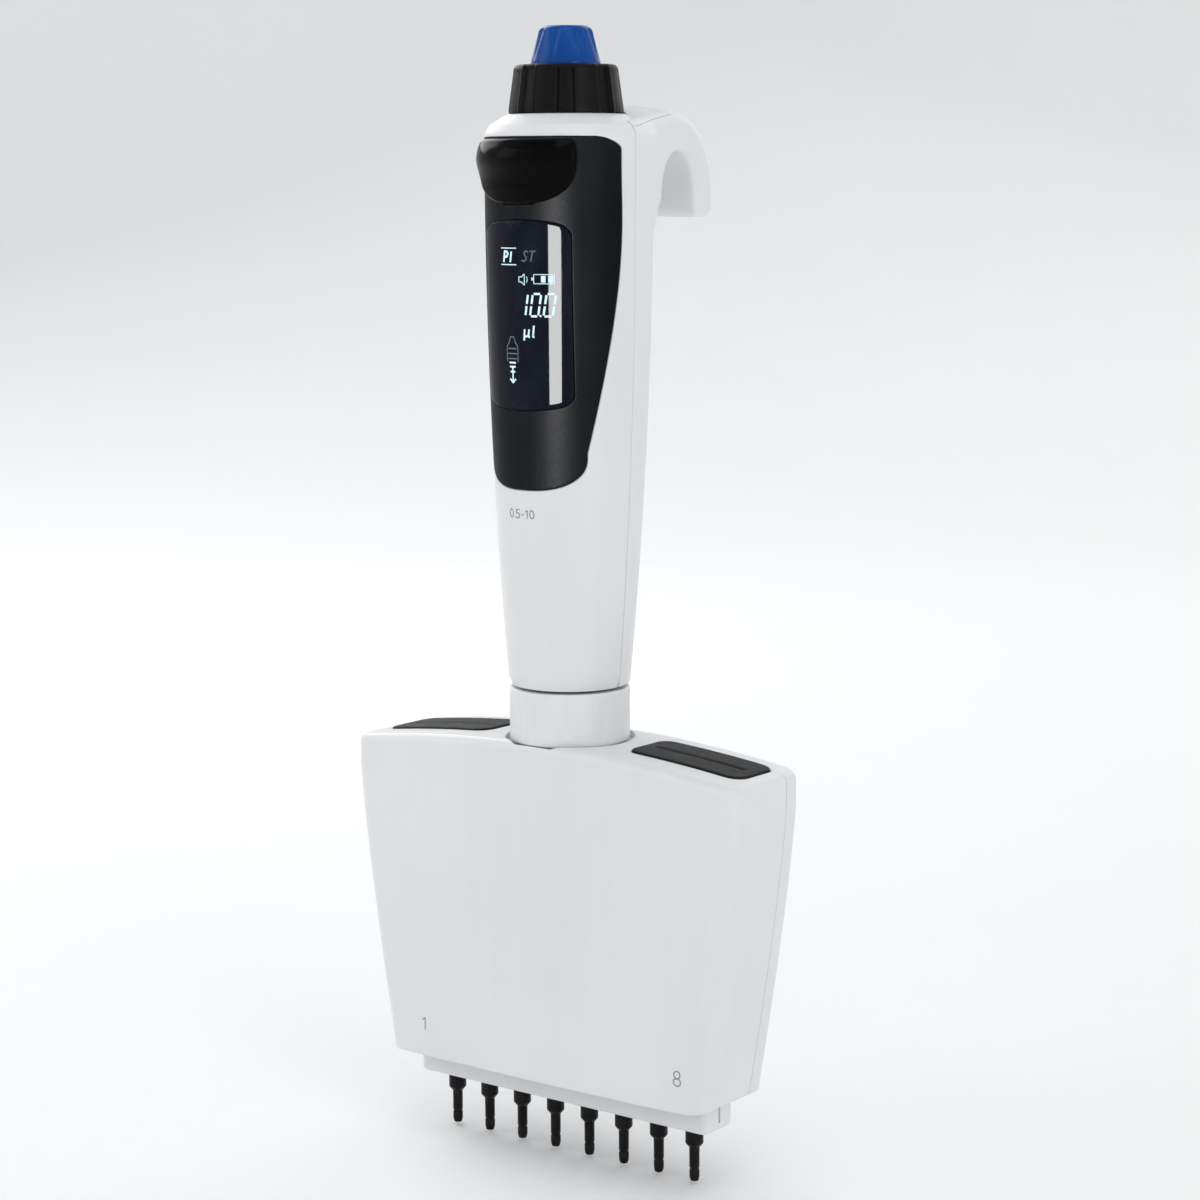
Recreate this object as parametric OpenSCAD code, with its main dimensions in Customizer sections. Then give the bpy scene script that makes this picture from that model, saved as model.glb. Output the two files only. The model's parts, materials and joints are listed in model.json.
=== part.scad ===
// Eight-channel electronic micropipette: a motor driven handle with a rest hook,
// carrying a manifold of eight tip cones that turns freely about the handle's axis.
// Heights are measured up from the ends of the tip cones, then the whole model is
// moved so that the origin is the crest of the saddle under the rest hook.
// +Z points up along the handle, -Y is the display side, +Y is the hook side.

/* [Handle] */
// Height of the handle's lower end
handle_z0 = 100; // [98:0.5:102]
// Height of the handle's top face
handle_z1 = 213.4; // [213:0.1:214]
// Radius of the round lower end
handle_end_r = 12.36; // [12:0.02:13]
// Half width of the handle at the top
handle_half_w = 16.9; // [16.5:0.1:18]
// Depth of the front half at the top
handle_front_d = 15.9; // [15:0.1:17]
// Depth of the rear half at the top
handle_rear_d = 13.2; // [12.5:0.1:14]
// Thickness of the housing walls
handle_wall = 2.0; // [1.8:0.1:2.2]
// Plane where the front and rear housings meet
handle_split_y = 0.5; // [0:0.1:1]

/* [Front panel] */
// Lowest point of the black panel
panel_z0 = 140.9; // [139:0.1:142]
// Top edge of the black panel
panel_z1 = 210.8; // [210:0.1:211]
// Half width of the black panel
panel_half_w = 16.5; // [15.5:0.1:16.6]
// Thickness of the black panel
panel_t = 1.0; // [0.8:0.1:1.1]
// Lower edge of the display window
window_z0 = 157; // [156:0.5:160]
// Upper edge of the display window
window_z1 = 194.5; // [192:0.5:195]
// Half width of the display window
window_half_w = 10.6; // [9:0.1:11]

/* [Rest hook] */
// Height of the crest of the hook's outer face
hook_top_z = 217.2; // [216.5:0.1:217.5]
// Reach of the hook behind the handle's axis
hook_reach = 34.8; // [34:0.1:36]
// Height of the hook's lower lip
hook_lip_z = 194.5; // [194:0.1:196]
// Distance of the saddle's crest behind the handle's axis
saddle_y = 19.4; // [19.2:0.1:19.6]
// Half width of the arch under the hook
arch_half_w = 6.6; // [6.5:0.1:6.7]
// Height of the saddle's crest
saddle_z = 207.8; // [207.5:0.1:208.2]

/* [Controls] */
// Radius of the volume ring at its lower edge
ring_r = 11.7; // [11.5:0.1:12]
// Number of grip ribs on the volume ring
ring_ribs = 16; // [12:2:30]
// Lower edge of the volume ring
ring_z0 = 216; // [215.8:0.1:216.2]
// Upper edge of the volume ring
ring_z1 = 225; // [224.5:0.1:225.5]
// Radius of the start button at its skirt
button_r = 7.0; // [6.8:0.1:7.1]
// Top of the start button
button_z1 = 232.6; // [232:0.1:233]
// Travel of the start button
button_travel = 2.0; // [1.5:0.1:2]
// Travel of the tip ejector key
eject_travel = 5.0; // [4:0.5:5]

/* [Manifold] */
// Number of channels
channels = 8; // [8]
// Distance between neighbouring channels
pitch = 9; // [9]
// Half width of the manifold at its shoulders
head_half_w = 49.3; // [48.5:0.1:49.5]
// Loss of half width towards the lower edge
head_taper = 8.7; // [8:0.1:9]
// Depth of the manifold in front of the axis
head_half_d = 13; // [12.6:0.1:13.4]
// Depth of the manifold behind the axis
head_rear_d = 13.6; // [13.2:0.1:14]
// Lower edge of the shells
head_z0 = 18; // [17.5:0.1:18.4]
// Top of the shells over the axis
head_z1 = 89; // [88.8:0.1:89.2]
// Drop of the shoulders at the ends
head_arch = 3.5; // [3:0.1:4]
// Wall of the manifold shells
head_wall = 1.8; // [1.6:0.1:2]
// Plane where the front and rear shells meet
head_split_y = 6.5; // [6:0.1:7]
// Radius of the locking collar
collar_r = 12.4; // [12.2:0.1:12.6]

/* [Channels] */
// Radius of the tip seat on each cone
seat_r = 1.05; // [1:0.05:1.2]
// Length of the tip seat
seat_len = 6.7; // [6:0.1:6.8]
// Radius of the cone's shank through the ejector bar
shank_r = 1.85; // [1.8:0.05:1.9]
// Radius of each piston
piston_r = 0.6; // [0.5:0.05:0.6]
// Travel of the pistons, ten microlitres and the blow out
piston_travel = 10; // [8:0.5:10]
// Half depth of the ejector bar
bar_half_d = 5; // [4.5:0.1:5.5]
// Half width of the ejector bar
bar_half_w = 37.7; // [37.5:0.1:37.8]

/* [Hidden] */
saddle = [0, saddle_y, saddle_z];
run_gap = 0.06;             // radial clearance of a running fit
seam = 0.08;                // gap round a fitted panel
sides = 56;                 // points round a handle section
levels = 13;                // sections up the handle
rear_power = 3.2;           // squareness of the rear half at the top
front_rise = 2.2;           // how quickly the front swells with height
rear_rise = 1.6;            // how quickly the rear swells with height
full_z = 211;               // height where the section is fully grown
channel_x = [for (i = [0:channels - 1]) (i - (channels - 1) / 2) * pitch];
motor_z0 = 125;
motor_z1 = 147;
motor_r = 7.5;
rod_x = 9;                  // the ejector rod stands beside the motor
rod_r = 0.8;
spigot_r = 9;
neck_r = 10.9;
sleeve_r = 6.4;
drive_r = 2;
stem_r = 3;
block_z = [20.5, 25];       // lower and upper face of the channel block
plate_z = [57, 61];         // lower and upper face of the piston plate
beam_z = [71, 75];          // lower and upper face of the ejector yoke's beam
bar_z = [11.7, 19.5];       // lower and upper face of the ejector bar
block_half_w = 34.8;
neck_flange_z = [83, 85];   // lower and upper face of the neck's flange
guide_at = [[-18, 6.5], [18, -6.5]];
guide_r = 1.5;
seal_r = 1.8;
barrel_top = 45;
key_z = [197.6, 210.4];     // lower and upper end of the ejector key
tongue_z = [202.6, 205.2];  // the key's tongue through the housing
tongue_half_w = 3.6;
cap_low_r = 14.4;           // the top cap's sloping foot, at the handle and above
cap_high_r = 12.4;
cap_h = 2.1;
$fn = 64;

// ---------- shared shapes ----------

function clamp01(v) = max(0, min(1, v));
function fade(s, p) = 1 - pow(1 - s, p);
function grown(z) = clamp01((z - handle_z0) / (full_z - handle_z0));
function between(low, high, part) = low + (high - low) * part;
function half_w(z) = between(handle_end_r, handle_half_w, fade(grown(z), front_rise));
function front_d(z) = between(handle_end_r, handle_front_d, fade(grown(z), front_rise));
function rear_d(z) = between(handle_end_r, handle_rear_d, fade(grown(z), rear_rise));
function rear_n(z) = between(2, rear_power, fade(grown(z), rear_rise));
function signed_pow(v, p) = sign(v) * pow(abs(v), p);

// One horizontal section of the handle, drawn in by inset: an ellipse in front and
// a squarer superellipse behind.
function handle_ring(z, inset) = [
    for (i = [0:sides - 1])
        let (t = 360 * i / sides, s = sin(t), c = -cos(t), p = 2 / rear_n(z))
        c <= 0
            ? [(half_w(z) - inset) * s, (front_d(z) - inset) * c, z]
            : [(half_w(z) - inset) * signed_pow(s, p), (rear_d(z) - inset) * pow(c, p), z]
];

// Closes a stack of rings with equal numbers of points into one solid.
module loft(rings) {
    n = len(rings[0]);
    m = len(rings);
    walls = [
        for (j = [0:m - 2], i = [0:n - 1])
            let (k = (i + 1) % n)
            [j * n + i, (j + 1) * n + i, (j + 1) * n + k, j * n + k]
    ];
    polyhedron(
        points = [for (ring = rings, p = ring) p],
        faces = concat(
            [[for (i = [0:n - 1]) i]],
            walls,
            [[for (i = [n - 1:-1:0]) (m - 1) * n + i]]
        )
    );
}

// The handle's solid between two heights, without its edge rounding.
module handle_slug(inset, low, high) {
    loft([for (i = [0:levels]) handle_ring(low + (high - low) * i / levels, inset)]);
}

// The handle's outer form, with a small lower chamfer and a rounded top edge.
module handle_form() {
    body_top = handle_z1 - 2.2;
    low = handle_z0 + 0.6;
    loft(concat(
        [handle_ring(handle_z0, 0.6)],
        [for (i = [0:levels]) handle_ring(low + (body_top - low) * i / levels, 0)],
        [for (a = [25:25:75]) handle_ring(body_top + 2.2 * sin(a), 2.2 * (1 - cos(a)))],
        [handle_ring(handle_z1, 2.2)]
    ));
}

// An outline in X and Z, standing in front of the axis.
module front_prism() {
    rotate([90, 0, 0])
        linear_extrude(30)
            children();
}

// An outline in Y and Z, extruded evenly to both sides of the middle plane.
module side_prism(half) {
    translate([-half, 0, 0])
        rotate([90, 0, 90])
            linear_extrude(2 * half)
                children();
}

function panel_edge(z) = panel_half_w - 4.8 * pow(max(0, 199 - z) / 53, 2.25);

// Outline of the black panel: a shield that narrows to a rounded lower end.
module panel_outline(inset) {
    foot = panel_z0 + 7.6;
    corner = 2.6;
    right = concat(
        [for (a = [0:15:90])
            let (u = pow(sin(a), 2 / 2.8), v = pow(cos(a), 2 / 2.8))
            [panel_edge(foot) * u, foot - 7.6 * v]],
        [for (i = [1:10]) let (z = between(foot, panel_z1 - corner, i / 10)) [panel_edge(z), z]],
        [for (a = [30:30:90])
            [panel_edge(panel_z1) - corner * (1 - cos(a)), panel_z1 - corner * (1 - sin(a))]]
    );
    left = [for (i = [len(right) - 1:-1:1]) [-right[i][0], right[i][1]]];
    offset(delta = -inset)
        polygon(concat(right, left));
}

// Outline of the display window, with gently bowed ends.
module window_outline(grow) {
    bow = 1.2;
    w = window_half_w + grow;
    upper = [for (i = [0:8])
        let (x = w * (1 - i / 4)) [x, window_z1 + grow - bow * pow(x / w, 2) - 1.6 * pow(x / w, 12)]];
    lower = [for (i = [0:8])
        let (x = w * (i / 4 - 1)) [x, window_z0 - grow + bow * pow(x / w, 2) + 1.6 * pow(x / w, 12)]];
    polygon(concat(upper, lower));
}

// Side view of the rest hook, from inside the handle over to the lip.
module hook_side() {
    back = hook_reach - 18;
    drop = hook_top_z - 197.5;
    outer = [for (a = [90:-7.5:0])
        [18 + back * pow(cos(a), 2 / 2.4), 197.5 + drop * pow(sin(a), 2 / 2.4)]];
    arch = [for (a = [0:11.25:180])
        [saddle_y + arch_half_w * cos(a), saddle_z - 9.2 + 9.2 * sin(a)]];
    polygon(concat(
        [[2, 211], [9, 215.9]],
        outer,
        [[hook_reach - 0.6, hook_lip_z + 1], [28, hook_lip_z], [saddle_y + arch_half_w + 0.4, hook_lip_z]],
        arch,
        [[12.2, 196], [2, 194]]
    ));
}

// View of the hook from above: as wide as the handle, a little narrower at the lip.
module hook_plan() {
    straight = hook_reach - 3;
    right = [for (i = [0:8]) [15.9 - 3.5 * pow(i / 8, 1.2), straight * i / 8]];
    corner = [for (a = [0:22.5:90]) [9.4 + 3 * cos(a), straight + 3 * sin(a)]];
    edge = concat(right, corner);
    polygon(concat(edge, [for (i = [len(edge) - 1:-1:0]) [-edge[i][0], edge[i][1]]]));
}

module hook_form() {
    intersection() {
        side_prism(20)
            hook_side();
        translate([0, 0, 180])
            linear_extrude(40)
                hook_plan();
    }
}

// Half width of the manifold at a height.
function head_w(z) = head_half_w - head_taper * pow(clamp01((79 - z) / 60), 1.25);
function head_top(x) = head_z1 - head_arch * pow(x / 48, 2);

// One horizontal section of the manifold: a rectangle with round corners and
// a slightly bowed front and back.
function head_ring(z, inset) =
    let (r = 4 - inset, w = head_w(z) - inset, bow = 0.9)
    [for (q = [0:3], k = [0:(q % 2 == 0 ? 10 : 5)])
        let (
            angle = q * 90 + 18 * min(k, 5),
            sx = (q == 0 || q == 3) ? 1 : -1,
            sy = q < 2 ? 1 : -1,
            d = (q < 2 ? head_rear_d : head_half_d) - inset,
            along = sx * (w - r) * (1 - max(0, k - 5) / 3),
            x = along + r * cos(angle),
            y = sy * (d - r) + r * sin(angle)
        )
        [x, y - sy * bow * pow(x / w, 2), z]];

// The manifold's solid, drawn in by inset, under an arched top lowered by drop.
module head_form(inset, drop, low) {
    intersection() {
        loft([for (i = [0:9]) head_ring(low + (92 - low) * i / 9, inset)]);
        rotate([90, 0, 0])
            linear_extrude(40, center = true)
                polygon(concat(
                    [[-60, low - 1], [60, low - 1]],
                    [for (x = [60:-6:-60]) [x, head_top(x) - drop]]
                ));
    }
}

// Plan of a shoulder insert on one side.
module insert_plan(side, grow) {
    translate([side * 32, 1.4])
        offset(r = 3 + grow)
            square([21.4, 7.4], center = true);
}

// A slab that follows the arched top.
module arch_slab(under, over) {
    rotate([90, 0, 0])
        linear_extrude(40, center = true)
            polygon(concat(
                [for (x = [-54:6:54]) [x, head_top(x) - under]],
                [for (x = [54:-6:-54]) [x, head_top(x) + over]]
            ));
}

module insert_form(side, grow, under, over) {
    intersection() {
        arch_slab(under, over);
        translate([0, 0, 70])
            linear_extrude(30)
                insert_plan(side, grow);
    }
}

// A ring with a square section.
module tube(inner, outer, low, high) {
    translate([0, 0, low])
        difference() {
            cylinder(r = outer, h = high - low);
            translate([0, 0, -1])
                cylinder(r = inner, h = high - low + 2);
        }
}

// A cylinder between two heights.
module post(r, low, high) {
    translate([0, 0, low])
        cylinder(r = r, h = high - low);
}

// A coil spring's turns, each a plain torus.
module coil(mean_r, wire_r, low, high, turns) {
    step = (high - low - 2 * wire_r) / (turns - 1);
    for (i = [0:turns - 1])
        translate([0, 0, low + wire_r + i * step])
            rotate_extrude($fn = 48)
                translate([mean_r, 0])
                    circle(r = wire_r, $fn = 16);
}

// A screw along +Y with its head at y = 0 and the shank towards -Y.
module screw(head_r, head_h, shank_r, length) {
    rotate([90, 0, 0]) {
        difference() {
            cylinder(r = head_r, h = head_h);
            translate([0, 0, -1])
                cylinder(r = head_r * 0.5, h = 1 + head_h * 0.6, $fn = 6);
        }
        cylinder(r = shank_r, h = length);
    }
}

// Moves the whole model so that the saddle's crest is the origin.
module placed() {
    translate(-saddle)
        children();
}

// ---------- handle ----------

housing_screw_at = [for (x = [-11.4, 11.4], z = [154, 184]) [x, z]];
housing_head_y = 9.6;       // outer face of the housing screws' heads
housing_boss_y = 3;         // where the front and rear screw bosses meet

// Cuts shared by both halves of the housing.
module housing_hollows() {
    handle_slug(handle_wall, handle_z0 - 1, handle_z1 - 2);
    post(7.6, handle_z1 - 3, handle_z1 + 1);
}

module front_housing() {
    color("whitesmoke") placed() difference() {
        intersection() {
            handle_form();
            translate([-30, handle_split_y - 40 - 0.02, 90])
                cube([60, 40, 140]);
        }
        housing_hollows();
        // pocket for the black panel
        intersection() {
            front_prism()
                panel_outline(0);
            difference() {
                handle_slug(-1, panel_z0 - 3, handle_z1 + 2);
                handle_slug(panel_t + 0.1, panel_z0 - 4, handle_z1 + 3);
            }
        }
        // opening behind the display window
        translate([-9.4, -30, window_z0 + 1.2])
            cube([18.8, 30, window_z1 - window_z0 - 2.4]);
        // slot for the ejector key's tongue
        translate([-tongue_half_w - 0.3, -30, tongue_z[0] - eject_travel - 0.1])
            cube([2 * tongue_half_w + 0.6, 30, tongue_z[1] - tongue_z[0] + eject_travel + 0.2]);
    }
    // screw bosses on ribs from the side walls
    color("whitesmoke") placed()
        for (at = housing_screw_at)
            difference() {
                union() {
                    boss(at, 1.3, -4, housing_boss_y - 0.02);
                    translate([at[0] > 0 ? at[0] : -14.6, -4, at[1] - 0.6])
                        cube([14.6 - abs(at[0]), 4.2, 1.2]);
                }
                boss(at, 0.8, -3, housing_boss_y + 1);
            }
}

module rear_housing() {
    color("whitesmoke") placed() {
        difference() {
            union() {
                intersection() {
                    handle_form();
                    translate([-30, handle_split_y + 0.02, 90])
                        cube([60, 40, 140]);
                }
                difference() {
                    hook_form();
                    translate([-30, -40, 180])
                        cube([60, 40 + 10, 40]);
                }
            }
            housing_hollows();
            for (at = housing_screw_at) {
                boss(at, 1.6, housing_head_y - 1.2, 20);
                boss(at, 0.95, 0, housing_head_y);
            }
            // root of the hook, cut back to the top cap that it meets
            translate([0, 0, handle_z1])
                cylinder(r1 = cap_low_r + 0.05, r2 = cap_high_r + 0.05, h = cap_h);
            post(cap_high_r, handle_z1, 218);
            // seats of the light on top of the hook and of the two charging contacts
            post_at_hook_light(0.05);
            charging_pins(0.02);
        }
        for (at = housing_screw_at)
            difference() {
                boss(at, 2.2, housing_boss_y, housing_head_y - 1.2);
                boss(at, 0.95, 0, housing_head_y);
            }
    }
}

module post_at_hook_light(grow) {
    translate([0, 27.5, 212.6 - grow])
        cylinder(r = 1.1 + grow, h = 2.2 + 2 * grow);
}

module charging_pins(grow) {
    for (x = [-5, 5])
        translate([x, saddle_y, saddle_z - 0.2 - 4 * grow])
            cylinder(r = 1.2 + grow, h = 2.2 + 5 * grow);
}

module top_cap() {
    color("whitesmoke") placed() {
        difference() {
            union() {
                translate([0, 0, handle_z1])
                    cylinder(r1 = cap_low_r, r2 = cap_high_r, h = cap_h);
                post(8.2, handle_z1, 223.4);
            }
            post(button_r + 0.3, 218, 224);
            post(3.0, handle_z1 - 1, 224);
        }
    }
}

module front_panel() {
    color([0.06, 0.06, 0.07]) placed() difference() {
        intersection() {
            front_prism()
                panel_outline(seam);
            difference() {
                handle_slug(0, panel_z0 - 3, handle_z1 + 2);
                handle_slug(panel_t, panel_z0 - 4, handle_z1 + 3);
            }
        }
        front_prism()
            window_outline(seam);
        translate([-tongue_half_w - 0.3, -30, tongue_z[0] - eject_travel - 0.1])
            cube([2 * tongue_half_w + 0.6, 30, tongue_z[1] - tongue_z[0] + eject_travel + 0.2]);
    }
}

module display_window() {
    color([0.02, 0.02, 0.03]) placed() intersection() {
        front_prism()
            window_outline(0);
        difference() {
            handle_slug(-0.15, window_z0 - 3, window_z1 + 3);
            handle_slug(0.85, window_z0 - 4, window_z1 + 4);
        }
    }
}

module display_module() {
    color("darkslategray") placed() translate([-9.1, -10.9, window_z0 + 1.8])
        cube([18.2, 1.6, window_z1 - window_z0 - 3.6]);
}

module main_board() {
    color("darkgreen") placed() {
        translate([-9.4, -8.2, 149])
            cube([18.8, 1.2, 47]);
        for (z = [152, 160])
            translate([-4, -7, z])
                cube([8, 1.4, 5]);
        translate([-8, -9.2, 150])
            cube([16, 1, 6]);
    }
}

module battery() {
    color("steelblue") placed() translate([0, 2, 0]) {
        post(7, 149.5, 193.5);
        post(2.5, 193.5, 194.7);
    }
}

module motor() {
    color("silver") placed() difference() {
        union() {
            post(motor_r, motor_z0, motor_z1 - 1);
            post(5, motor_z1 - 1, motor_z1);
            post(motor_r + 0.4, motor_z0 + 9, motor_z0 + 11);
        }
        post(drive_r + 0.2, motor_z0 - 1, motor_z1 + 1);
    }
}

module motor_bracket() {
    color("dimgray") placed() difference() {
        union() {
            post(10.2, motor_z0 - 3, motor_z0 - 1);
            tube(motor_r - 0.6, motor_r + 0.2, motor_z0 - 1, motor_z0);
        }
        post(4.2, motor_z0 - 4, motor_z0);
        translate([rod_x, 0, 0])
            post(rod_r + 0.3, motor_z0 - 4, motor_z0 + 1);
    }
}

module drive_guide() {
    color("ivory") placed() difference() {
        union() {
            post(4.1, 109, motor_z0 - 1);
            post(5.2, motor_z0 - 1, motor_z0);
        }
        post(drive_r + run_gap, 108, motor_z0 + 1);
    }
}

module switch_board() {
    color("darkgreen") placed() difference() {
        post(7.4, 202.8, 204.2);
        for (a = [60, 180, 300])
            rotate([0, 0, a])
                translate([6, 0, 0])
                    post(0.7, 202, 205);
    }
}

module start_switch() {
    color("gray") placed() {
        translate([-3, -3, 204.2])
            cube([6, 6, 3]);
        post(1.5, 207.2, 207.9);
    }
}

module swivel_spigot() {
    color("lightgray") placed() difference() {
        union() {
            post(spigot_r, 80, 100.5);
            post(10.1, 100.5, 102.5);
        }
        post(sleeve_r + run_gap, 79, 104);
    }
}

module retaining_clip() {
    color("silver") placed() difference() {
        tube(spigot_r, 10.3, 80.8, 81.6);
        translate([0, -2, 80])
            cube([12, 4, 3]);
    }
}

module hook_light() {
    color("gainsboro") placed() post_at_hook_light(0);
}

module charging_contacts() {
    color("goldenrod") placed() charging_pins(0);
}

module housing_screws() {
    color("silver") placed()
        for (at = housing_screw_at)
            translate([at[0], housing_head_y, at[1]])
                screw(1.5, 1.2, 0.8, 12);
}

module button_spring() {
    color("silver") placed() coil(3.9, 0.3, 218.1, 225.4, 6);
}

module ejector_spring() {
    color("silver") placed() coil(7.3, 0.35, 102.5, 117, 7);
}

// ---------- controls ----------

module volume_ring() {
    color([0.05, 0.05, 0.06]) placed() difference() {
        union() {
            translate([0, 0, ring_z0])
                cylinder(r1 = ring_r - 0.5, r2 = ring_r - 1.5, h = 7);
            translate([0, 0, ring_z0 + 7])
                cylinder(r1 = ring_r - 1.5, r2 = ring_r - 2.9, h = 2);
            for (i = [0:ring_ribs - 1])
                rotate([0, 0, 360 * i / ring_ribs])
                    translate([ring_r - 1.1, 0, ring_z0])
                        rotate([0, -8, 0])
                            cylinder(r1 = 0.75, r2 = 0.7, h = 6.8, $fn = 16);
        }
        post(8.2 + run_gap, ring_z0 - 2, 223.6);
        post(button_r + 0.35, 220, 230);
        post(2 * ring_r, ring_z0 - 1, ring_z0);
    }
}

module start_button() {
    color([0.04, 0.29, 0.65]) placed() difference() {
        union() {
            post(button_r, 220.4, 226);
            translate([0, 0, 226])
                cylinder(r1 = button_r - 0.3, r2 = 5.9, h = 4);
            translate([0, 0, 230])
                cylinder(r1 = 5.9, r2 = 4.4, h = 2.4);
            translate([0, 0, 232.4])
                cylinder(r1 = 4.4, r2 = 3.6, h = button_z1 - 232.4);
        }
        tube(3.2, 5.4, 219, 225.6);
        post(5.4, 219, 220.3);
    }
    color("white") placed() post(2.5, 210.2, 220.4);
}

// Front view of the key: a shield, wide at the top.
module key_outline(inset) {
    w = 11.2 - inset;
    h = key_z[1] - key_z[0] - 2 * inset;
    polygon(concat(
        [for (a = [0:15:180])
            [w * signed_pow(cos(a), 0.75), key_z[0] + inset + h * 0.62 - h * 0.62 * pow(sin(a), 0.75)]],
        [[-w, key_z[1] - inset - 1], [-w + 1.5, key_z[1] - inset], [w - 1.5, key_z[1] - inset],
            [w, key_z[1] - inset - 1]]
    ));
}

module ejector_key() {
    ledge_z = 205.6;
    color([0.02, 0.02, 0.02]) placed() intersection() {
        front_prism()
            key_outline(0);
        difference() {
            union() {
                handle_slug(-1.3, key_z[0] - 2, key_z[1] + 2);
                // the thumb ledge
                loft([
                    handle_ring(ledge_z - 3, -1.2), handle_ring(ledge_z - 0.8, -2.7),
                    handle_ring(ledge_z + 0.6, -2.8), handle_ring(ledge_z + 4, -1.2)
                ]);
            }
            handle_slug(-0.3, key_z[0] - eject_travel - 3, key_z[1] + 3);
        }
    }
}

module key_bracket() {
    color("dimgray") placed() difference() {
        union() {
            translate([-tongue_half_w, -15.9, tongue_z[0]])
                cube([2 * tongue_half_w, 6.2, tongue_z[1] - tongue_z[0]]);
            translate([-tongue_half_w, -9.8, tongue_z[0]])
                cube([tongue_half_w + rod_x + 0.8, 1.3, tongue_z[1] - tongue_z[0]]);
            translate([rod_x - 0.8, -9, tongue_z[0]])
                cube([1.6, 8, tongue_z[1] - tongue_z[0]]);
            translate([rod_x, 0, 0])
                post(1.4, tongue_z[0], tongue_z[1]);
        }
        translate([rod_x, 0, 0])
            post(rod_r, tongue_z[0] - 1, tongue_z[1] + 1);
    }
}

module ejector_rod() {
    color("silver") placed() translate([rod_x, 0, 0])
        post(rod_r, 117, tongue_z[1]);
}

module push_sleeve() {
    color("ivory") placed() difference() {
        union() {
            post(sleeve_r, 93, 119);
            post(8, 117, 119);
            translate([4, -1.4, 117])
                cube([5, 2.8, 2]);
            translate([rod_x, 0, 0])
                post(1.4, 117, 119);
        }
        post(4.6, 92, 120);
        translate([rod_x, 0, 0])
            post(rod_r, 116, 120);
    }
}

module locking_collar() {
    color("white") placed() difference() {
        union() {
            post(collar_r, 88.4, 99);
            translate([0, 0, 99])
                cylinder(r1 = collar_r, r2 = collar_r - 0.4, h = 0.4);
        }
        post(neck_r + 0.2, 87, 97.8);
        post(spigot_r + run_gap, 87, 101);
        // shallow grip grooves
        for (i = [0:9])
            rotate([0, 0, 18 + 36 * i])
                translate([collar_r + 0.35, 0, 90])
                    cylinder(r = 0.5, h = 7.4, $fn = 16);
    }
}

module drive_rod() {
    color("silver") placed() {
        post(drive_r, 89, 143);
        post(stem_r, 89, 90.5);
    }
}

// ---------- manifold ----------

upper_screw = [41.5, 70];
lower_screw = [27, 36];
screw_at = [for (s = [-1, 1], at = [upper_screw, lower_screw]) [s * at[0], at[1]]];

// A boss along Y between two depths.
module boss(at, r, front, back) {
    translate([at[0], back, at[1]])
        rotate([90, 0, 0])
            cylinder(r = r, h = back - front);
}

module head_hollows() {
    head_form(head_wall, 3.4, head_z0 - 2);
    post(collar_r + 1, head_z1 - 1.4, head_z1 + 5);
    post(neck_r + 0.1, 80, head_z1 + 5);
    for (side = [-1, 1])
        insert_form(side, seam, 1.6, 3);
}

// Ledges inside a shell that grip the channel block and the neck's flange, with
// facing -1 for the front shell and 1 for the rear one.
module shell_ledges(facing) {
    ledge_d = 3.4;
    for (x = [-11.5, 11.5], z = [block_z[0] - 1.7, block_z[1] + 0.1])
        translate([x - 3, facing * 9.7 - ledge_d / 2, z])
            cube([6, ledge_d, 1.6]);
    for (x = [-13.5, 13.5])
        translate([x - 2, facing * 9.3 - 2, neck_flange_z[0] - 1.8])
            cube([4, 4, 1.7]);
}

// Where a shell's screw boss ends towards the other shell.
function front_boss_end(at) = at[1] > 50 ? head_split_y - 0.1 : -4.2;
function rear_boss_end(at) = at[1] > 50 ? head_split_y + 0.1 : 4.2;

module front_shell() {
    color("white") placed() {
        difference() {
            intersection() {
                head_form(0, 0, head_z0);
                translate([-60, head_split_y - 40 - 0.02, 0])
                    cube([120, 40, 100]);
            }
            head_hollows();
        }
        for (at = screw_at)
            difference() {
                boss(at, 2.2, -11.6, front_boss_end(at));
                boss(at, 0.9, -9.6, front_boss_end(at) + 1);
            }
        shell_ledges(-1);
    }
}

module rear_shell() {
    color("white") placed() {
        difference() {
            intersection() {
                head_form(0, 0, head_z0);
                translate([-60, head_split_y + 0.02, 0])
                    cube([120, 40, 100]);
            }
            head_hollows();
            for (at = screw_at)
                boss(at, 1.9, 11.5, 15);
            for (at = screw_at)
                boss(at, 0.95, 4, 15);
        }
        for (at = screw_at)
            difference() {
                boss(at, 2.2, rear_boss_end(at), 11.5);
                boss(at, 0.95, 0, 12);
            }
        shell_ledges(1);
    }
}

module left_insert() {
    color([0.17, 0.17, 0.18]) placed() insert_form(-1, 0, 1.5, 0.35);
}

module right_insert() {
    color([0.17, 0.17, 0.18]) placed() insert_form(1, 0, 1.5, 0.35);
}

module swivel_neck() {
    color("lightgray") placed() difference() {
        union() {
            post(neck_r, 82, 97.5);
            translate([-16, -10.6, neck_flange_z[0]])
                cube([32, 21.2, neck_flange_z[1] - neck_flange_z[0]]);
        }
        post(spigot_r + run_gap, 81, 99);
    }
}

module channel_block() {
    color("silver") placed() difference() {
        translate([-block_half_w, -9, block_z[0]])
            cube([2 * block_half_w, 18, block_z[1] - block_z[0]]);
        for (x = channel_x)
            translate([x, 0, 0])
                post(2.45, block_z[0] - 1, block_z[1] + 1);
        for (at = guide_at)
            translate([at[0], at[1], 0])
                post(guide_r, block_z[0] + 1, block_z[1] + 1);
    }
}

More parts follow.
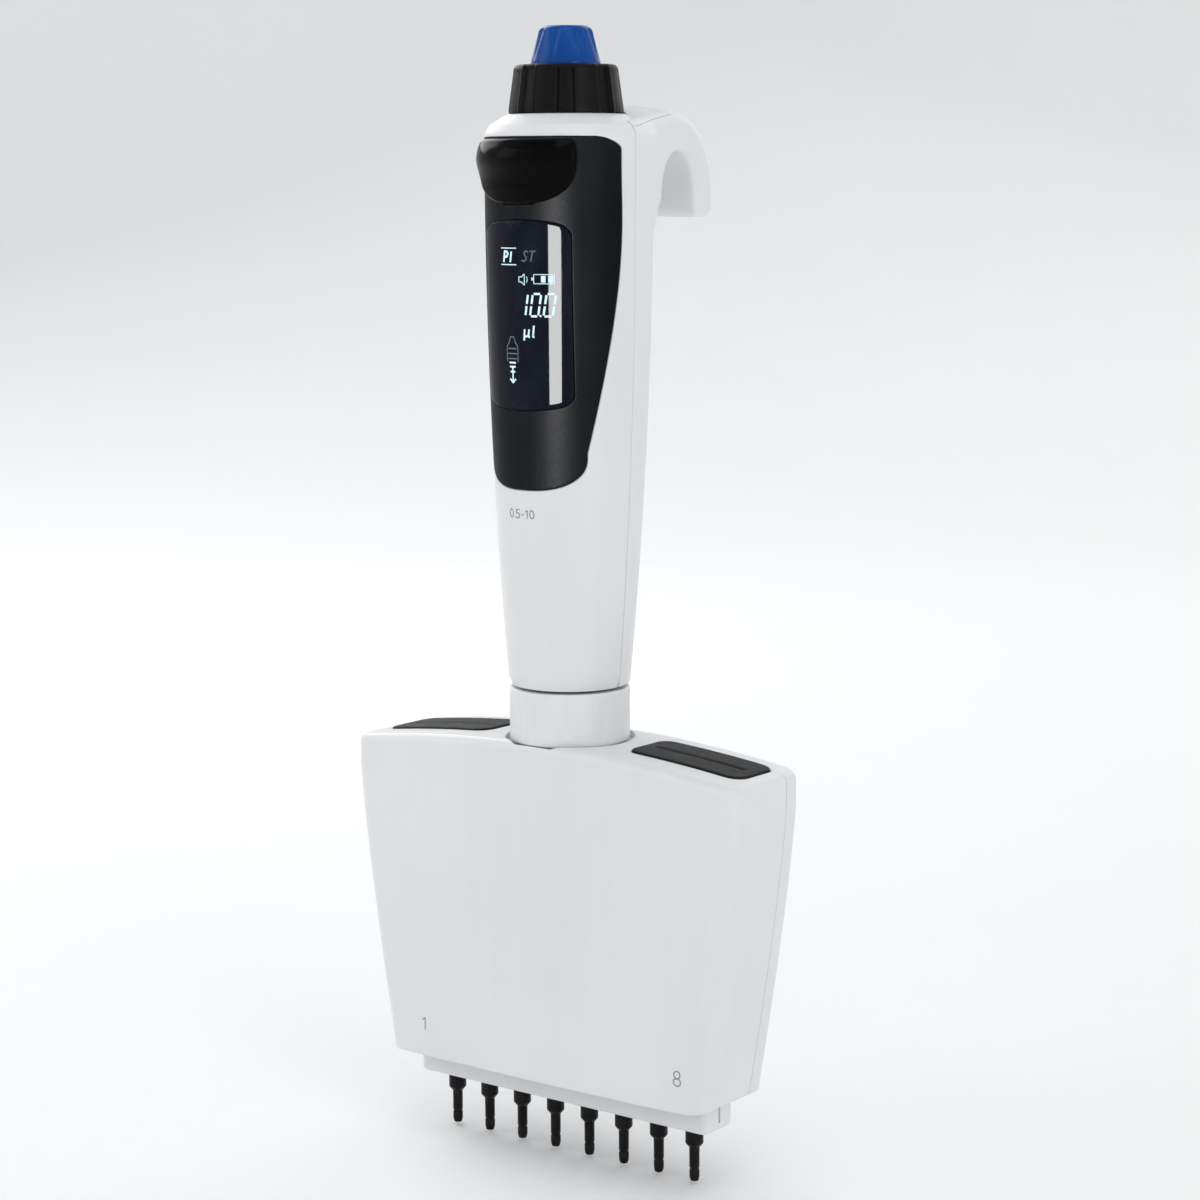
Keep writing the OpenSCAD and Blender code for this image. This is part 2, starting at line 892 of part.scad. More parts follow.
// One tip cone with its cylinder barrel above the block.
module tip_cone(i) {
    nose = 0.8;
    shank_z = nose + seat_len;
    color([0.04, 0.04, 0.04]) placed() translate([channel_x[i], 0, 0]) difference() {
        union() {
            cylinder(r1 = seat_r - 0.3, r2 = seat_r, h = nose);
            post(seat_r, nose, shank_z);
            post(shank_r, shank_z, block_z[0]);
            post(2.45, block_z[0], block_z[1]);
            post(3, block_z[1], barrel_top);
        }
        post(0.35, -1, block_z[0] + 0.1);
        post(piston_r + 0.04, block_z[0], barrel_top + 1);
    }
}

module tip_cone_1() { tip_cone(0); }
module tip_cone_2() { tip_cone(1); }
module tip_cone_3() { tip_cone(2); }
module tip_cone_4() { tip_cone(3); }
module tip_cone_5() { tip_cone(4); }
module tip_cone_6() { tip_cone(5); }
module tip_cone_7() { tip_cone(6); }
module tip_cone_8() { tip_cone(7); }

module piston_seals() {
    color("ivory") placed()
        for (x = channel_x)
            translate([x, 0, 0])
                tube(piston_r + 0.03, seal_r, barrel_top, barrel_top + 1.6);
}

module guide_rods() {
    color("silver") placed()
        for (at = guide_at)
            translate([at[0], at[1], 0])
                post(guide_r, block_z[0] + 1, 68);
}

module shell_screws() {
    color("silver") placed()
        for (at = screw_at)
            translate([at[0], 12.7, at[1]])
                screw(1.7, 1.2, 0.85, 20);
}

module return_springs() {
    color("silver") placed()
        for (at = guide_at)
            translate([at[0], at[1], 0])
                coil(2.2, 0.3, block_z[1], plate_z[0], 9);
}

// ---------- piston carriage ----------

module piston_plate() {
    color("silver") placed() difference() {
        union() {
            translate([-block_half_w, -4.4, plate_z[0]])
                cube([2 * block_half_w, 8.8, plate_z[1] - plate_z[0]]);
            for (at = guide_at)
                translate([at[0] - 3, min(at[1], 0) - (at[1] < 0 ? 2.6 : 0), plate_z[0]])
                    cube([6, abs(at[1]) + 2.6, plate_z[1] - plate_z[0]]);
        }
        for (at = guide_at)
            translate([at[0], at[1], 0])
                post(guide_r + run_gap, plate_z[0] - 1, plate_z[1] + 1);
    }
}

module piston_stem() {
    color("silver") placed() {
        post(stem_r, plate_z[1], 88.8);
        post(4.2, plate_z[1], plate_z[1] + 2);
    }
}

module pistons() {
    color("gainsboro") placed()
        for (x = channel_x)
            translate([x, 0, 0])
                post(piston_r, 40, plate_z[0]);
}

// ---------- tip ejector in the manifold ----------

module ejector_bar() {
    color("white") placed() difference() {
        hull()
            for (x = [-1, 1], y = [-1, 1])
                translate([x * (bar_half_w - 1.5), y * (bar_half_d - 1.5), 0])
                    post(1.5, bar_z[0], bar_z[1], $fn = 32);
        for (x = channel_x)
            translate([x, 0, 0])
                post(shank_r + 0.2, bar_z[0] - 1, bar_z[1] + 1);
    }
}

module ejector_yoke() {
    color("ivory") placed() difference() {
        union() {
            translate([-37.4, -3.4, beam_z[0]])
                cube([74.8, 6.8, beam_z[1] - beam_z[0]]);
            post(6.2, beam_z[0], 92.8);
        }
        post(4.6, beam_z[0] - 1, 94);
    }
}

module ejector_links() {
    color("silver") placed()
        for (side = [-1, 1])
            translate([side * 36.4 - 1, -3, bar_z[1]])
                cube([2, 6, beam_z[0] - bar_z[1]]);
}

front_housing();
rear_housing();
top_cap();
front_panel();
display_window();
display_module();
main_board();
battery();
motor();
motor_bracket();
drive_guide();
switch_board();
start_switch();
swivel_spigot();
retaining_clip();
hook_light();
charging_contacts();
housing_screws();
button_spring();
ejector_spring();
volume_ring();
start_button();
ejector_key();
key_bracket();
ejector_rod();
push_sleeve();
locking_collar();
drive_rod();
front_shell();
rear_shell();
left_insert();
right_insert();
swivel_neck();
channel_block();
tip_cone_1();
tip_cone_2();
tip_cone_3();
tip_cone_4();
tip_cone_5();
tip_cone_6();
tip_cone_7();
tip_cone_8();
piston_seals();
guide_rods();
shell_screws();
return_springs();
piston_plate();
piston_stem();
pistons();
ejector_bar();
ejector_yoke();
ejector_links();
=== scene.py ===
# An eight-channel electronic micropipette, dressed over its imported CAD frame.
# Shapes are worked out in millimetres: z is the height above the ends of the tip cones and
# x = y = 0 is the handle's axis. They become metres in the row frame in makeMesh.
import json

import bmesh
import bpy
import numpy as np
from mathutils import Matrix, Vector

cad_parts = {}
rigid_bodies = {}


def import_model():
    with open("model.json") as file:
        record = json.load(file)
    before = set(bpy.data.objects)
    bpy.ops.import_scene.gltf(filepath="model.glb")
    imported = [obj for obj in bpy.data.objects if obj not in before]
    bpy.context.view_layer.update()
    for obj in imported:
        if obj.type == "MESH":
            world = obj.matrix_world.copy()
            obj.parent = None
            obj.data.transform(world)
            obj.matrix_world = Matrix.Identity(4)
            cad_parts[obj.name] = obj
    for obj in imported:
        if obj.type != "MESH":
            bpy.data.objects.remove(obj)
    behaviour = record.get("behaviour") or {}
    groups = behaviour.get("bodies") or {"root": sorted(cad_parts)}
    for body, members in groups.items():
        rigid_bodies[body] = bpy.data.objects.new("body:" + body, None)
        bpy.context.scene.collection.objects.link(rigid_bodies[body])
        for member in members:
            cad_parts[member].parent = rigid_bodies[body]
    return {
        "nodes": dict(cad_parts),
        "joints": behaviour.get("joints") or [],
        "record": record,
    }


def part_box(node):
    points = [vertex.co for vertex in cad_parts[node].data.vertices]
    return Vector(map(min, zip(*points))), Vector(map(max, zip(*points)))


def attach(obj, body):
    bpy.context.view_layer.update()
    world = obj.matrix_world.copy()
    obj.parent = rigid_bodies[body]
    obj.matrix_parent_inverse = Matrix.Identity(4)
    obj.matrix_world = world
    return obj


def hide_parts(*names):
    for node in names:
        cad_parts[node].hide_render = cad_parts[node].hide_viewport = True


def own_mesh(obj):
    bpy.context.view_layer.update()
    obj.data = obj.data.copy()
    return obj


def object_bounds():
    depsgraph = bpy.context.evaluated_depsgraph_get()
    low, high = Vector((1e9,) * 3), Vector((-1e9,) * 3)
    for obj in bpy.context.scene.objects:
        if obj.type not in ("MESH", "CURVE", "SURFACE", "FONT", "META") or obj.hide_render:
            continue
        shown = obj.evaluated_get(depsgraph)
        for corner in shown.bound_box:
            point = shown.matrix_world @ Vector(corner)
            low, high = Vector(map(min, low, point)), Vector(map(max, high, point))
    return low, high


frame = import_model()
cadLow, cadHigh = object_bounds()

rodLow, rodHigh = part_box("drive_rod")
axisPlace = np.array([0.0, (rodLow.y + rodHigh.y) / 2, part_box("tip_cone_1")[0].z])
perMetre = 1000.0
print("frame loaded:", len(frame["nodes"]), "nodes")


# A CAD node's lowest and highest corners in local millimetres.
def localBox(node):
    low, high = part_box(node)
    return (np.array(low) - axisPlace) * perMetre, (np.array(high) - axisPlace) * perMetre


def between(low, high, part):
    return low + (high - low) * part


# Points from their coordinates, each given as an array.
def spots(*coordinates):
    return np.stack(coordinates, -1)


# Angles from 0 to a right angle, and once round a circle.
def quarter(count):
    return np.linspace(0, np.pi / 2, count)


def circle(count):
    return np.linspace(0, 2 * np.pi, count, endpoint=False)


# How far along a line each of its points lies.
def travelled(points):
    return np.concatenate([[0], np.cumsum(np.linalg.norm(np.diff(points, axis=0), axis=1))])


# 1 - (1 - part) to the power: a quick start and a slow finish.
def fade(part, power):
    return 1 - (1 - np.clip(part, 0, 1)) ** power


# 0 below low, 1 above high, and 3t^2 - 2t^3 between them.
def smooth(low, high, value):
    t = np.clip((value - low) / (high - low), 0, 1)
    return t * t * (3 - 2 * t)


# How far a quarter-round edge has dropped at a distance along from where it starts.
def roundFall(radius, along):
    t = np.clip(along, 0, radius)
    return radius - np.sqrt(np.maximum(radius ** 2 - t ** 2, 0))


# Two distances joined as an intersection, with its edge rounded to a radius.
def roundedMax(radius, first, second):
    a, b = np.maximum(radius + first, 0), np.maximum(radius + second, 0)
    return np.minimum(-radius, np.maximum(first, second)) + np.sqrt(a * a + b * b)


# The smaller of two distances, with the inner corner filled over a width.
def blendedMin(width, first, second):
    h = np.clip(0.5 + 0.5 * (second - first) / width, 0, 1)
    return between(second, first, h) - width * h * (1 - h)


# Quads of a grid of rows by columns points, joined end to end where it wraps.
def gridFaces(rows, columns, wrapRows=False, wrapColumns=False):
    r = np.arange(rows if wrapRows else rows - 1)[:, None]
    c = np.arange(columns if wrapColumns else columns - 1)[None, :]
    rNext, cNext = (r + 1) % rows, (c + 1) % columns
    corners = [r * columns + c, r * columns + cNext, rNext * columns + cNext, rNext * columns + c]
    return np.stack(np.broadcast_arrays(*corners), -1).reshape(-1, 4)


# Points and faces put into a mesh in the row frame, with doubles welded, faces turned
# outwards, and shading smooth up to sharpAngle degrees.
def makeMesh(name, points, faces, sharpAngle=38.0):
    mesh = bpy.data.meshes.new(name)
    points = np.asarray(points, float).reshape(-1, 3) / perMetre + axisPlace
    mesh.from_pydata(points.tolist(), [], np.asarray(faces).tolist())
    work = bmesh.new()
    work.from_mesh(mesh)
    bmesh.ops.remove_doubles(work, verts=work.verts, dist=2e-6)
    bmesh.ops.dissolve_degenerate(work, edges=work.edges, dist=1e-7)
    bmesh.ops.recalc_face_normals(work, faces=work.faces)
    work.to_mesh(mesh)
    work.free()
    mesh.shade_smooth()
    mesh.set_sharp_from_angle(angle=np.radians(sharpAngle))
    return mesh


def makeObject(name, mesh):
    made = bpy.data.objects.new(name, mesh)
    bpy.context.scene.collection.objects.link(made)
    return made


# A finished piece: its mesh, its finish, the body it rides on and the nodes it stands for.
def dress(name, mesh, slot, body, stands=(), finish=None):
    piece = makeObject(name, mesh)
    mesh.materials.clear()
    mesh.materials.append(finishes[finish] if finish else slotFinish(slot))
    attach(piece, body)
    if stands:
        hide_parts(*stands)
    return piece


# One mesh that holds several, each left as its own closed shell.
def joinMeshes(name, meshes):
    work = bmesh.new()
    for mesh in meshes:
        work.from_mesh(mesh)
    made = bpy.data.meshes.new(name)
    work.to_mesh(made)
    work.free()
    made.shade_smooth()
    return made


# The exact boolean of a mesh with each cutter in turn.
def cutMesh(mesh, cutters, sharpAngle=38.0):
    body = makeObject("cutBody", mesh)
    for cutter in cutters:
        tool = makeObject("cutTool", cutter)
        step = body.modifiers.new("cut", "BOOLEAN")
        step.operation, step.solver, step.object = "DIFFERENCE", "EXACT", tool
        evaluated = body.evaluated_get(bpy.context.evaluated_depsgraph_get())
        result = bpy.data.meshes.new_from_object(evaluated)
        body.modifiers.clear()
        body.data = result
        bpy.data.objects.remove(tool)
    result = body.data
    bpy.data.objects.remove(body)
    result.shade_smooth()
    result.set_sharp_from_angle(angle=np.radians(sharpAngle))
    return result


# A profile of (radius, z) turned round the axis through centre. shape(angle, radius, z) may
# change the radius. It closes at poles on the axis, or as a ring if the profile is a loop.
def turned(name, profile, count=128, shape=None, centre=(0.0, 0.0), sharpAngle=38.0):
    profile = np.asarray(profile, float)
    closed = np.allclose(profile[0], profile[-1])
    loop = profile[:-1] if closed else profile
    angle = np.repeat(circle(count)[None, :], len(loop), 0)
    radius, z = np.repeat(loop[:, :1], count, 1), np.repeat(loop[:, 1:], count, 1)
    if shape is not None:
        radius = shape(angle, radius, z)
    points = spots(centre[0] + radius * np.cos(angle), centre[1] + radius * np.sin(angle), z)
    return makeMesh(name, points, gridFaces(len(loop), count, closed, True), sharpAngle)


# A line through corners (radius, z, rounding): each corner becomes the quadratic curve
# (1-t)^2 a + 2t(1-t) c + t^2 b between the points where its rounding starts and ends.
def roundedProfile(corners, steps=6):
    corners = np.asarray(corners, float)
    out = [corners[:1, :2]]
    t = np.linspace(0, 1, steps + 1)[:, None]
    for before, here, after in zip(corners[:-2], corners[1:-1], corners[2:]):
        spot = here[:2]
        if here[2] <= 0:
            out.append(spot[None])
            continue
        back, forth = before[:2] - spot, after[:2] - spot
        start = spot + back / np.linalg.norm(back) * here[2]
        end = spot + forth / np.linalg.norm(forth) * here[2]
        out.append((1 - t) ** 2 * start + 2 * t * (1 - t) * spot + t ** 2 * end)
    out.append(corners[-1:, :2])
    return np.vstack(out)


# Points spaced evenly by length round a closed loop, from its first point.
def evenLoop(points, count):
    points = np.asarray(points, float)
    ring = np.vstack([points, points[:1]])
    travel = travelled(ring)
    at = np.linspace(0, travel[-1], count, endpoint=False)
    return spots(np.interp(at, travel, ring[:, 0]), np.interp(at, travel, ring[:, 1]))


# A closed loop from its right half, which runs from the bottom middle to the top middle.
def mirrored(right):
    right = np.asarray(right, float)
    return np.vstack([right, right[-2:0:-1] * [-1, 1]])


# A counter-clockwise closed loop moved outwards along its own normals.
def grownLoop(loop, grow):
    run = np.roll(loop, -1, 0) - np.roll(loop, 1, 0)
    run /= np.maximum(np.linalg.norm(run, axis=1, keepdims=True), 1e-9)
    return loop + grow * spots(run[:, 1], -run[:, 0])


# A closed plate that lies on a surface. place(u, v, lift) gives a point of the surface
# raised by lift, outer is the plate's outline and hole its opening, if it has one. The
# rows run over the face, round the rim by a quarter circle, and back under the plate.
def plate(name, place, outer, lift, under, rounding, hole=None, rows=26):
    angle = np.linspace(np.pi / 2, 0, 6)
    inset, drop = rounding * (1 - np.sin(angle)), rounding * (1 - np.cos(angle))
    rim = [grownLoop(outer, -step) for step in inset]
    part = np.linspace(0, 1, rows)[1:]
    if hole is None:
        inner = np.broadcast_to(outer.mean(0), outer.shape)
        face = rim + [between(rim[-1], inner, s) for s in part]
        fall = list(drop) + [0] * len(part)
        back = [between(outer, inner, s) for s in np.linspace(0, 1, 9)]
    else:
        edge = [grownLoop(hole, step) for step in inset[::-1]]
        face = rim + [between(rim[-1], edge[0], s) for s in part[:-1]] + edge
        fall = list(drop) + [0] * (len(part) - 1) + list(drop[::-1])
        back = [between(outer, hole, s) for s in np.linspace(0, 1, rows)]
    face, back = np.array(face), np.array(back[::-1])
    over = place(face[..., 0], face[..., 1], lift(face[..., 0], face[..., 1]) - np.array(fall)[:, None])
    below = place(back[..., 0], back[..., 1], under(back[..., 0], back[..., 1]))
    points = np.concatenate([below, over])
    return makeMesh(name, points, gridFaces(len(points), len(outer), hole is not None, True))




# A shader socket that takes part in sums: each operator adds the Math node that works it out.
class Wire:
    def __init__(self, finish, socket):
        self.finish, self.socket = finish, socket

    def math(self, operation, first, second):
        return self.finish.add("Math", {"operation": operation}, {0: first, 1: second})

    def __add__(self, other):
        return self.math("ADD", self, other)

    def __sub__(self, other):
        return self.math("SUBTRACT", self, other)

    def __rsub__(self, other):
        return self.math("SUBTRACT", other, self)

    def __mul__(self, other):
        return self.math("MULTIPLY", self, other)

    __radd__ = __add__
    __rmul__ = __mul__

    # 0 below low and 1 above high, with a smooth step between.
    def span(self, low, high):
        return self.finish.add("MapRange", {"interpolation_type": "SMOOTHSTEP"}, {0: self, 1: low, 2: high})


# A material built round one Principled shader, with constants set on its own sockets.
class Finish:
    def __init__(self, name, **constants):
        self.material = bpy.data.materials.new(name)
        self.material.use_nodes = True
        self.tree = self.material.node_tree
        self.shader = self.tree.nodes["Principled BSDF"]
        for socket, value in constants.items():
            self.shader.inputs[socket.replace("_", " ")].default_value = value
        self.place = self.add("TexCoord", output="Object")

    # Any node: its settings first, a ramp's stops among them, then its inputs; gives one output.
    def add(self, kind, settings=None, inputs=None, output=0):
        node = self.tree.nodes.new("ShaderNode" + kind)
        for key, value in (settings or {}).items():
            if key == "stops":
                for number, (position, colour) in enumerate(value):
                    stops = node.color_ramp.elements
                    stop = stops[number] if number < 2 else stops.new(position)
                    stop.position, stop.color = position, (*colour, 1)
            else:
                setattr(node, key, value)
        for key, value in (inputs or {}).items():
            self.feed(node.inputs[key], value)
        return Wire(self, node.outputs[output])

    def feed(self, socket, value):
        if isinstance(value, Wire):
            self.tree.links.new(value.socket, socket)
        else:
            socket.default_value = value

    # Feeds the Principled shader's sockets, spaces written as underscores.
    def give(self, **inputs):
        for name, value in inputs.items():
            self.feed(self.shader.inputs[name.replace("_", " ")], value)

    # Object coordinates scaled unevenly, for lines and bands.
    def stretched(self, scale):
        return self.add("Mapping", {"vector_type": "POINT"}, {"Vector": self.place, "Scale": scale})

    # Cloudy noise whose features are about size millimetres across.
    def noise(self, size, detail=2.0, rough=0.5, place=None):
        return self.add("TexNoise", None, {"Vector": place or self.place, "Scale": perMetre / size,
                                           "Detail": detail, "Roughness": rough})

    # Voronoi cells about size millimetres across.
    def cells(self, size, feature="F1", output="Distance"):
        return self.add("TexVoronoi", {"feature": feature},
                        {"Vector": self.place, "Scale": perMetre / size}, output)

    # Object height in millimetres, from the row frame's origin.
    def height(self):
        return self.add("SeparateXYZ", None, {0: self.place}, 2) * perMetre

    # A colour between two, by part.
    def tone(self, part, first, second):
        node = self.tree.nodes.new("ShaderNodeMix")
        node.data_type = "RGBA"
        for index, value in ((0, part), (6, first), (7, second)):
            self.feed(node.inputs[index], (*value, 1) if isinstance(value, tuple) else value)
        return Wire(self, node.outputs[2])

    # A bump of depth millimetres over relief from 0 to 1.
    def bump(self, relief, depth, strength=1.0, under=None):
        inputs = {"Height": relief, "Distance": depth / perMetre, "Strength": strength}
        if under is not None:
            inputs["Normal"] = under
        return self.add("Bump", None, inputs)


# Moulded plastic: two close tones in soft clouds, fine spark-eroded grain, faint flow lines
# along the part, and rubbing that polishes patches of the grain.
def moulded(name, look, **constants):
    finish = Finish(name, **constants)
    clouds = finish.noise(look["cloud"], 3)
    grain = finish.noise(look["grain"], 3, 0.6)
    flow = finish.noise(look["cloud"], 2, 0.5, finish.stretched((6, 6, 0.5)))
    rubbed = finish.noise(look["cloud"] * 0.6, 4, 0.65).span(0.5, 0.72)
    finish.give(
        Base_Color=finish.tone((clouds * 0.7 + flow * 0.3).span(0.3, 0.7), look["dark"], look["light"]),
        Roughness=look["rough"] + look["uneven"] * (grain - 0.5) - look["polish"] * rubbed,
        Normal=finish.bump(grain * (1.0 - 0.4 * rubbed), look["depth"], 1.0,
                           finish.bump(flow, look["depth"] * 1.5, 0.5)),
    )
    return finish.material


# Turned or brushed metal: fine lines across one direction in colour, roughness and relief,
# with soft stains over them.
def metal(name, look, **constants):
    finish = Finish(name, **constants)
    lines = finish.noise(look["line"], 2, 0.6, finish.stretched(look["stretch"]))
    stains = finish.noise(look["cloud"], 4, 0.6)
    finish.give(
        Base_Color=finish.tone((lines * 0.6 + stains * 0.4).span(0.3, 0.7), look["dark"], look["light"]),
        Metallic=1.0 - 0.08 * stains.span(0.6, 0.8),
        Roughness=look["rough"] + 0.16 * (lines - 0.5) + 0.12 * (stains - 0.5),
        Normal=finish.bump(lines, look["depth"]),
    )
    return finish.material


# Moulded plastics: two tones, sizes of clouds and grain in millimetres, roughness and how uneven
# it is, what rubbing takes off it, bump depth in millimetres and specular level.
plasticTraits = ("dark", "light", "cloud", "grain", "rough", "uneven", "polish", "depth", "shine")
plastics = {name: dict(zip(plasticTraits, row)) for name, *row in (
    ("whiteShell", (0.765, 0.775, 0.79), (0.815, 0.82, 0.83), 42, 0.3, 0.36, 0.1, 0.06, 0.006, 0.5),
    ("whiteCollar", (0.76, 0.77, 0.785), (0.82, 0.825, 0.835), 16, 0.26, 0.4, 0.12, 0.05, 0.006, 0.5),
    ("blackPanel", (0.0016, 0.0019, 0.0026), (0.0034, 0.0038, 0.0048), 26, 0.36, 0.42, 0.26, 0.05, 0.026,
     0.05),
    ("blackGrip", (0.0025, 0.0027, 0.003), (0.005, 0.0053, 0.0056), 7, 0.24, 0.4, 0.24, 0.1, 0.02, 0.13),
    ("blackGloss", (0.0008, 0.0009, 0.0012), (0.0016, 0.0017, 0.0021), 12, 1.2, 0.11, 0.03, 0.03, 0.001,
     0.06),
    ("blueCap", (0.0, 0.055, 0.27), (0.0002, 0.074, 0.34), 9, 0.4, 0.2, 0.06, 0.06, 0.004, 0.18),
    ("darkInsert", (0.005, 0.0054, 0.0064), (0.0095, 0.01, 0.0114), 11, 0.24, 0.52, 0.18, 0.08, 0.016, 0.14),
    ("coneBlack", (0.004, 0.004, 0.0045), (0.009, 0.009, 0.01), 4, 0.18, 0.38, 0.1, 0.12, 0.004, 0.15),
    ("naturalPlastic", (0.6, 0.57, 0.49), (0.7, 0.67, 0.6), 12, 0.35, 0.42, 0.1, 0.06, 0.006, 0.5),
    ("greyPlastic", (0.17, 0.175, 0.18), (0.24, 0.245, 0.25), 12, 0.3, 0.45, 0.12, 0.06, 0.008, 0.5),
    ("sealRubber", (0.4, 0.36, 0.27), (0.52, 0.47, 0.37), 2, 0.15, 0.55, 0.1, 0.04, 0.004, 0.5),
    ("printedGrey", (0.22, 0.225, 0.235), (0.33, 0.335, 0.345), 1.6, 0.12, 0.46, 0.12, 0.0, 0.003, 0.5),
)}
# Metals: two tones, size of the brushed lines and of stains, how lines stretch, roughness, depth.
metalTraits = ("dark", "light", "line", "cloud", "stretch", "rough", "depth")
metals = {name: dict(zip(metalTraits, row)) for name, *row in (
    ("steel", (0.5, 0.51, 0.52), (0.68, 0.69, 0.7), 0.1, 6, (0.05, 0.05, 1.0), 0.24, 0.002),
    ("zincScrew", (0.46, 0.46, 0.44), (0.62, 0.62, 0.6), 0.16, 1.5, (0.3, 1.0, 0.3), 0.34, 0.003),
    ("aluminiumPlate", (0.6, 0.61, 0.62), (0.74, 0.75, 0.76), 0.2, 10, (0.05, 1.0, 1.0), 0.36, 0.004),
    ("goldContact", (0.72, 0.49, 0.17), (0.86, 0.63, 0.27), 0.12, 1.2, (1.0, 1.0, 0.2), 0.22, 0.001),
)}
finishes = {name: moulded(name, look, IOR=1.5, Specular_IOR_Level=look["shine"])
            for name, look in plastics.items()}
finishes.update({name: metal(name, look) for name, look in metals.items()})


# Black glass with a faint blue depth: smooth, with thumb smears in its gloss.
def screenGlass():
    finish = Finish("screenGlass", IOR=1.5, Specular_IOR_Level=0.07)
    smear = finish.noise(5, 5, 0.6, finish.stretched((1.0, 1.0, 0.45)))
    speck = finish.cells(1.3).span(0.0, 0.06)
    finish.give(
        Base_Color=finish.tone(smear.span(0.35, 0.75), (0.0012, 0.0017, 0.0034), (0.0024, 0.0032, 0.0056)),
        Roughness=0.045 + 0.05 * smear.span(0.55, 0.8) + 0.02 * (1.0 - speck),
        Normal=finish.bump(smear, 0.0012),
    )
    return finish.material


# Lit segments: a pale glow, a little uneven from cell to cell of the display.
def screenGlow(name, tint, strength):
    finish = Finish(name, IOR=1.52, Roughness=0.12, Emission_Strength=strength)
    cell = finish.cells(0.28)
    finish.give(
        Base_Color=finish.tone(cell.span(0.1, 0.6), (0.05, 0.06, 0.065), (0.02, 0.03, 0.035)),
        Emission_Color=finish.tone(cell.span(0.2, 0.9), tint, tuple(0.72 * part for part in tint)),
    )
    return finish.material


# Solder mask over copper tracks, with tinned pads in rows.
def circuitBoard():
    finish = Finish("circuitBoard", IOR=1.5)
    tracks = finish.add("TexBrick", {"offset": 0.37, "squash": 0.6},
                        {"Vector": finish.stretched((1, 1, 1)), "Scale": perMetre / 5.0,
                         "Mortar Size": 0.035, "Mortar Smooth": 0.2}, 1)
    pads = 1.0 - finish.cells(1.9, "F1", "Distance").span(0.16, 0.20)
    weave = finish.noise(0.5, 2)
    finish.give(
        Base_Color=finish.tone(pads, finish.tone(tracks, (0.008, 0.075, 0.022), (0.02, 0.16, 0.05)),
                               (0.55, 0.50, 0.38)),
        Metallic=pads * 0.9,
        Roughness=0.34 + 0.12 * (weave - 0.5) - 0.1 * pads,
        Normal=finish.bump(tracks * 0.6 + pads * 0.4 + weave * 0.15, 0.03),
    )
    return finish.material


# Shrunk film round the battery: creased towards its ends, with a plain pale band.
def cellWrap():
    finish = Finish("cellWrap", IOR=1.5)
    creases = finish.noise(3.0, 4, 0.6, finish.stretched((1.6, 1.6, 0.4)))
    up = finish.height()
    band = up.span(-52.0, -51.6) * (1.0 - up.span(-46.4, -46.0))
    finish.give(
        Base_Color=finish.tone(band, finish.tone(creases, (0.015, 0.09, 0.28), (0.025, 0.13, 0.36)),
                               (0.62, 0.63, 0.65)),
        Roughness=0.26 + 0.16 * creases.span(0.3, 0.7),
        Normal=finish.bump(creases, 0.05),
    )
    return finish.material


# A small smoked lens with a frosted inside.
def lightLens():
    finish = Finish("lightLens", IOR=1.5)
    frost = finish.noise(0.2, 3)
    finish.give(
        Base_Color=finish.tone(frost, (0.16, 0.17, 0.18), (0.30, 0.31, 0.32)),
        Roughness=0.18 + 0.15 * frost,
        Normal=finish.bump(frost, 0.004),
    )
    return finish.material


finishes["screenGlass"] = screenGlass()
finishes["screenBright"] = screenGlow("screenBright", (0.66, 0.93, 1.0), 1.25)
finishes["screenDim"] = screenGlow("screenDim", (0.45, 0.60, 0.66), 0.22)
finishes["circuitBoard"] = circuitBoard()
finishes["cellWrap"] = cellWrap()
finishes["lightLens"] = lightLens()

otherFinish = {"screen": "screenGlass", "circuit": "circuitBoard", "seal": "sealRubber"}


# The finish that shows one of the record's material slots: the slot's name in camelCase, or
# the name given above.
def slotFinish(slot):
    first, *rest = slot.split("_")
    return finishes[otherFinish.get(slot) or first + "".join(word.title() for word in rest)]



print("finishes made:", len(finishes))


# The handle's section: an ellipse in front and a squarer superellipse behind. Both grow
# from the round lower end to full size just below the top.
handle = {
    "low": 100.0, "top": 213.4, "full": 211.0, "endRadius": 12.36, "halfWidth": 16.9,
    "frontDepth": 15.9, "rearDepth": 13.2, "frontRise": 2.2, "rearRise": 1.6, "rearPower": 3.2,
    "shoulder": 210.8, "shoulderDraw": 1.4, "edge": 0.25, "footRounding": 0.6, "wall": 2.0, "splitY": 0.5,
    "splitGap": 0.05,
    "spread": 16.4,  # millimetres round the front for each radian
}


# The share of the handle's height at z, from 0 at its lower end to 1 where it is full.
def grown(z):
    return np.clip((z - handle["low"]) / (handle["full"] - handle["low"]), 0, 1)


def halfWidth(z):
    return between(handle["endRadius"], handle["halfWidth"], fade(grown(z), handle["frontRise"]))


def frontDepth(z):
    return between(handle["endRadius"], handle["frontDepth"], fade(grown(z), handle["frontRise"]))


def rearDepth(z):
    return between(handle["endRadius"], handle["rearDepth"], fade(grown(z), handle["rearRise"]))


# How far the section is drawn in over the shoulder: shoulderDraw times the share of the way
# up to the top, to the power 1.6, and a small quarter circle at the edge.
def shoulderDraw(z):
    share = np.clip((z - handle["shoulder"]) / (handle["top"] - handle["shoulder"]), 0, 1)
    edge = roundFall(handle["edge"], z - handle["top"] + handle["edge"])
    return handle["shoulderDraw"] * share ** 1.6 + edge


# The handle's front at u millimetres round from the middle and at height z, raised by lift:
# x = (halfWidth + lift) sin(u / spread), y = -(frontDepth + lift) cos(u / spread), drawn in
# over the shoulder and by a quarter circle at the foot.
def handleFront(u, z, lift):
    t = u / handle["spread"]
    drawn = lift - shoulderDraw(z)
    drawn = drawn - roundFall(handle["footRounding"], handle["low"] + handle["footRounding"] - z)
    return spots((halfWidth(z) + drawn) * np.sin(t), -(frontDepth(z) + drawn) * np.cos(t), z)


def level(value):
    return lambda u, z: np.full_like(u, value)


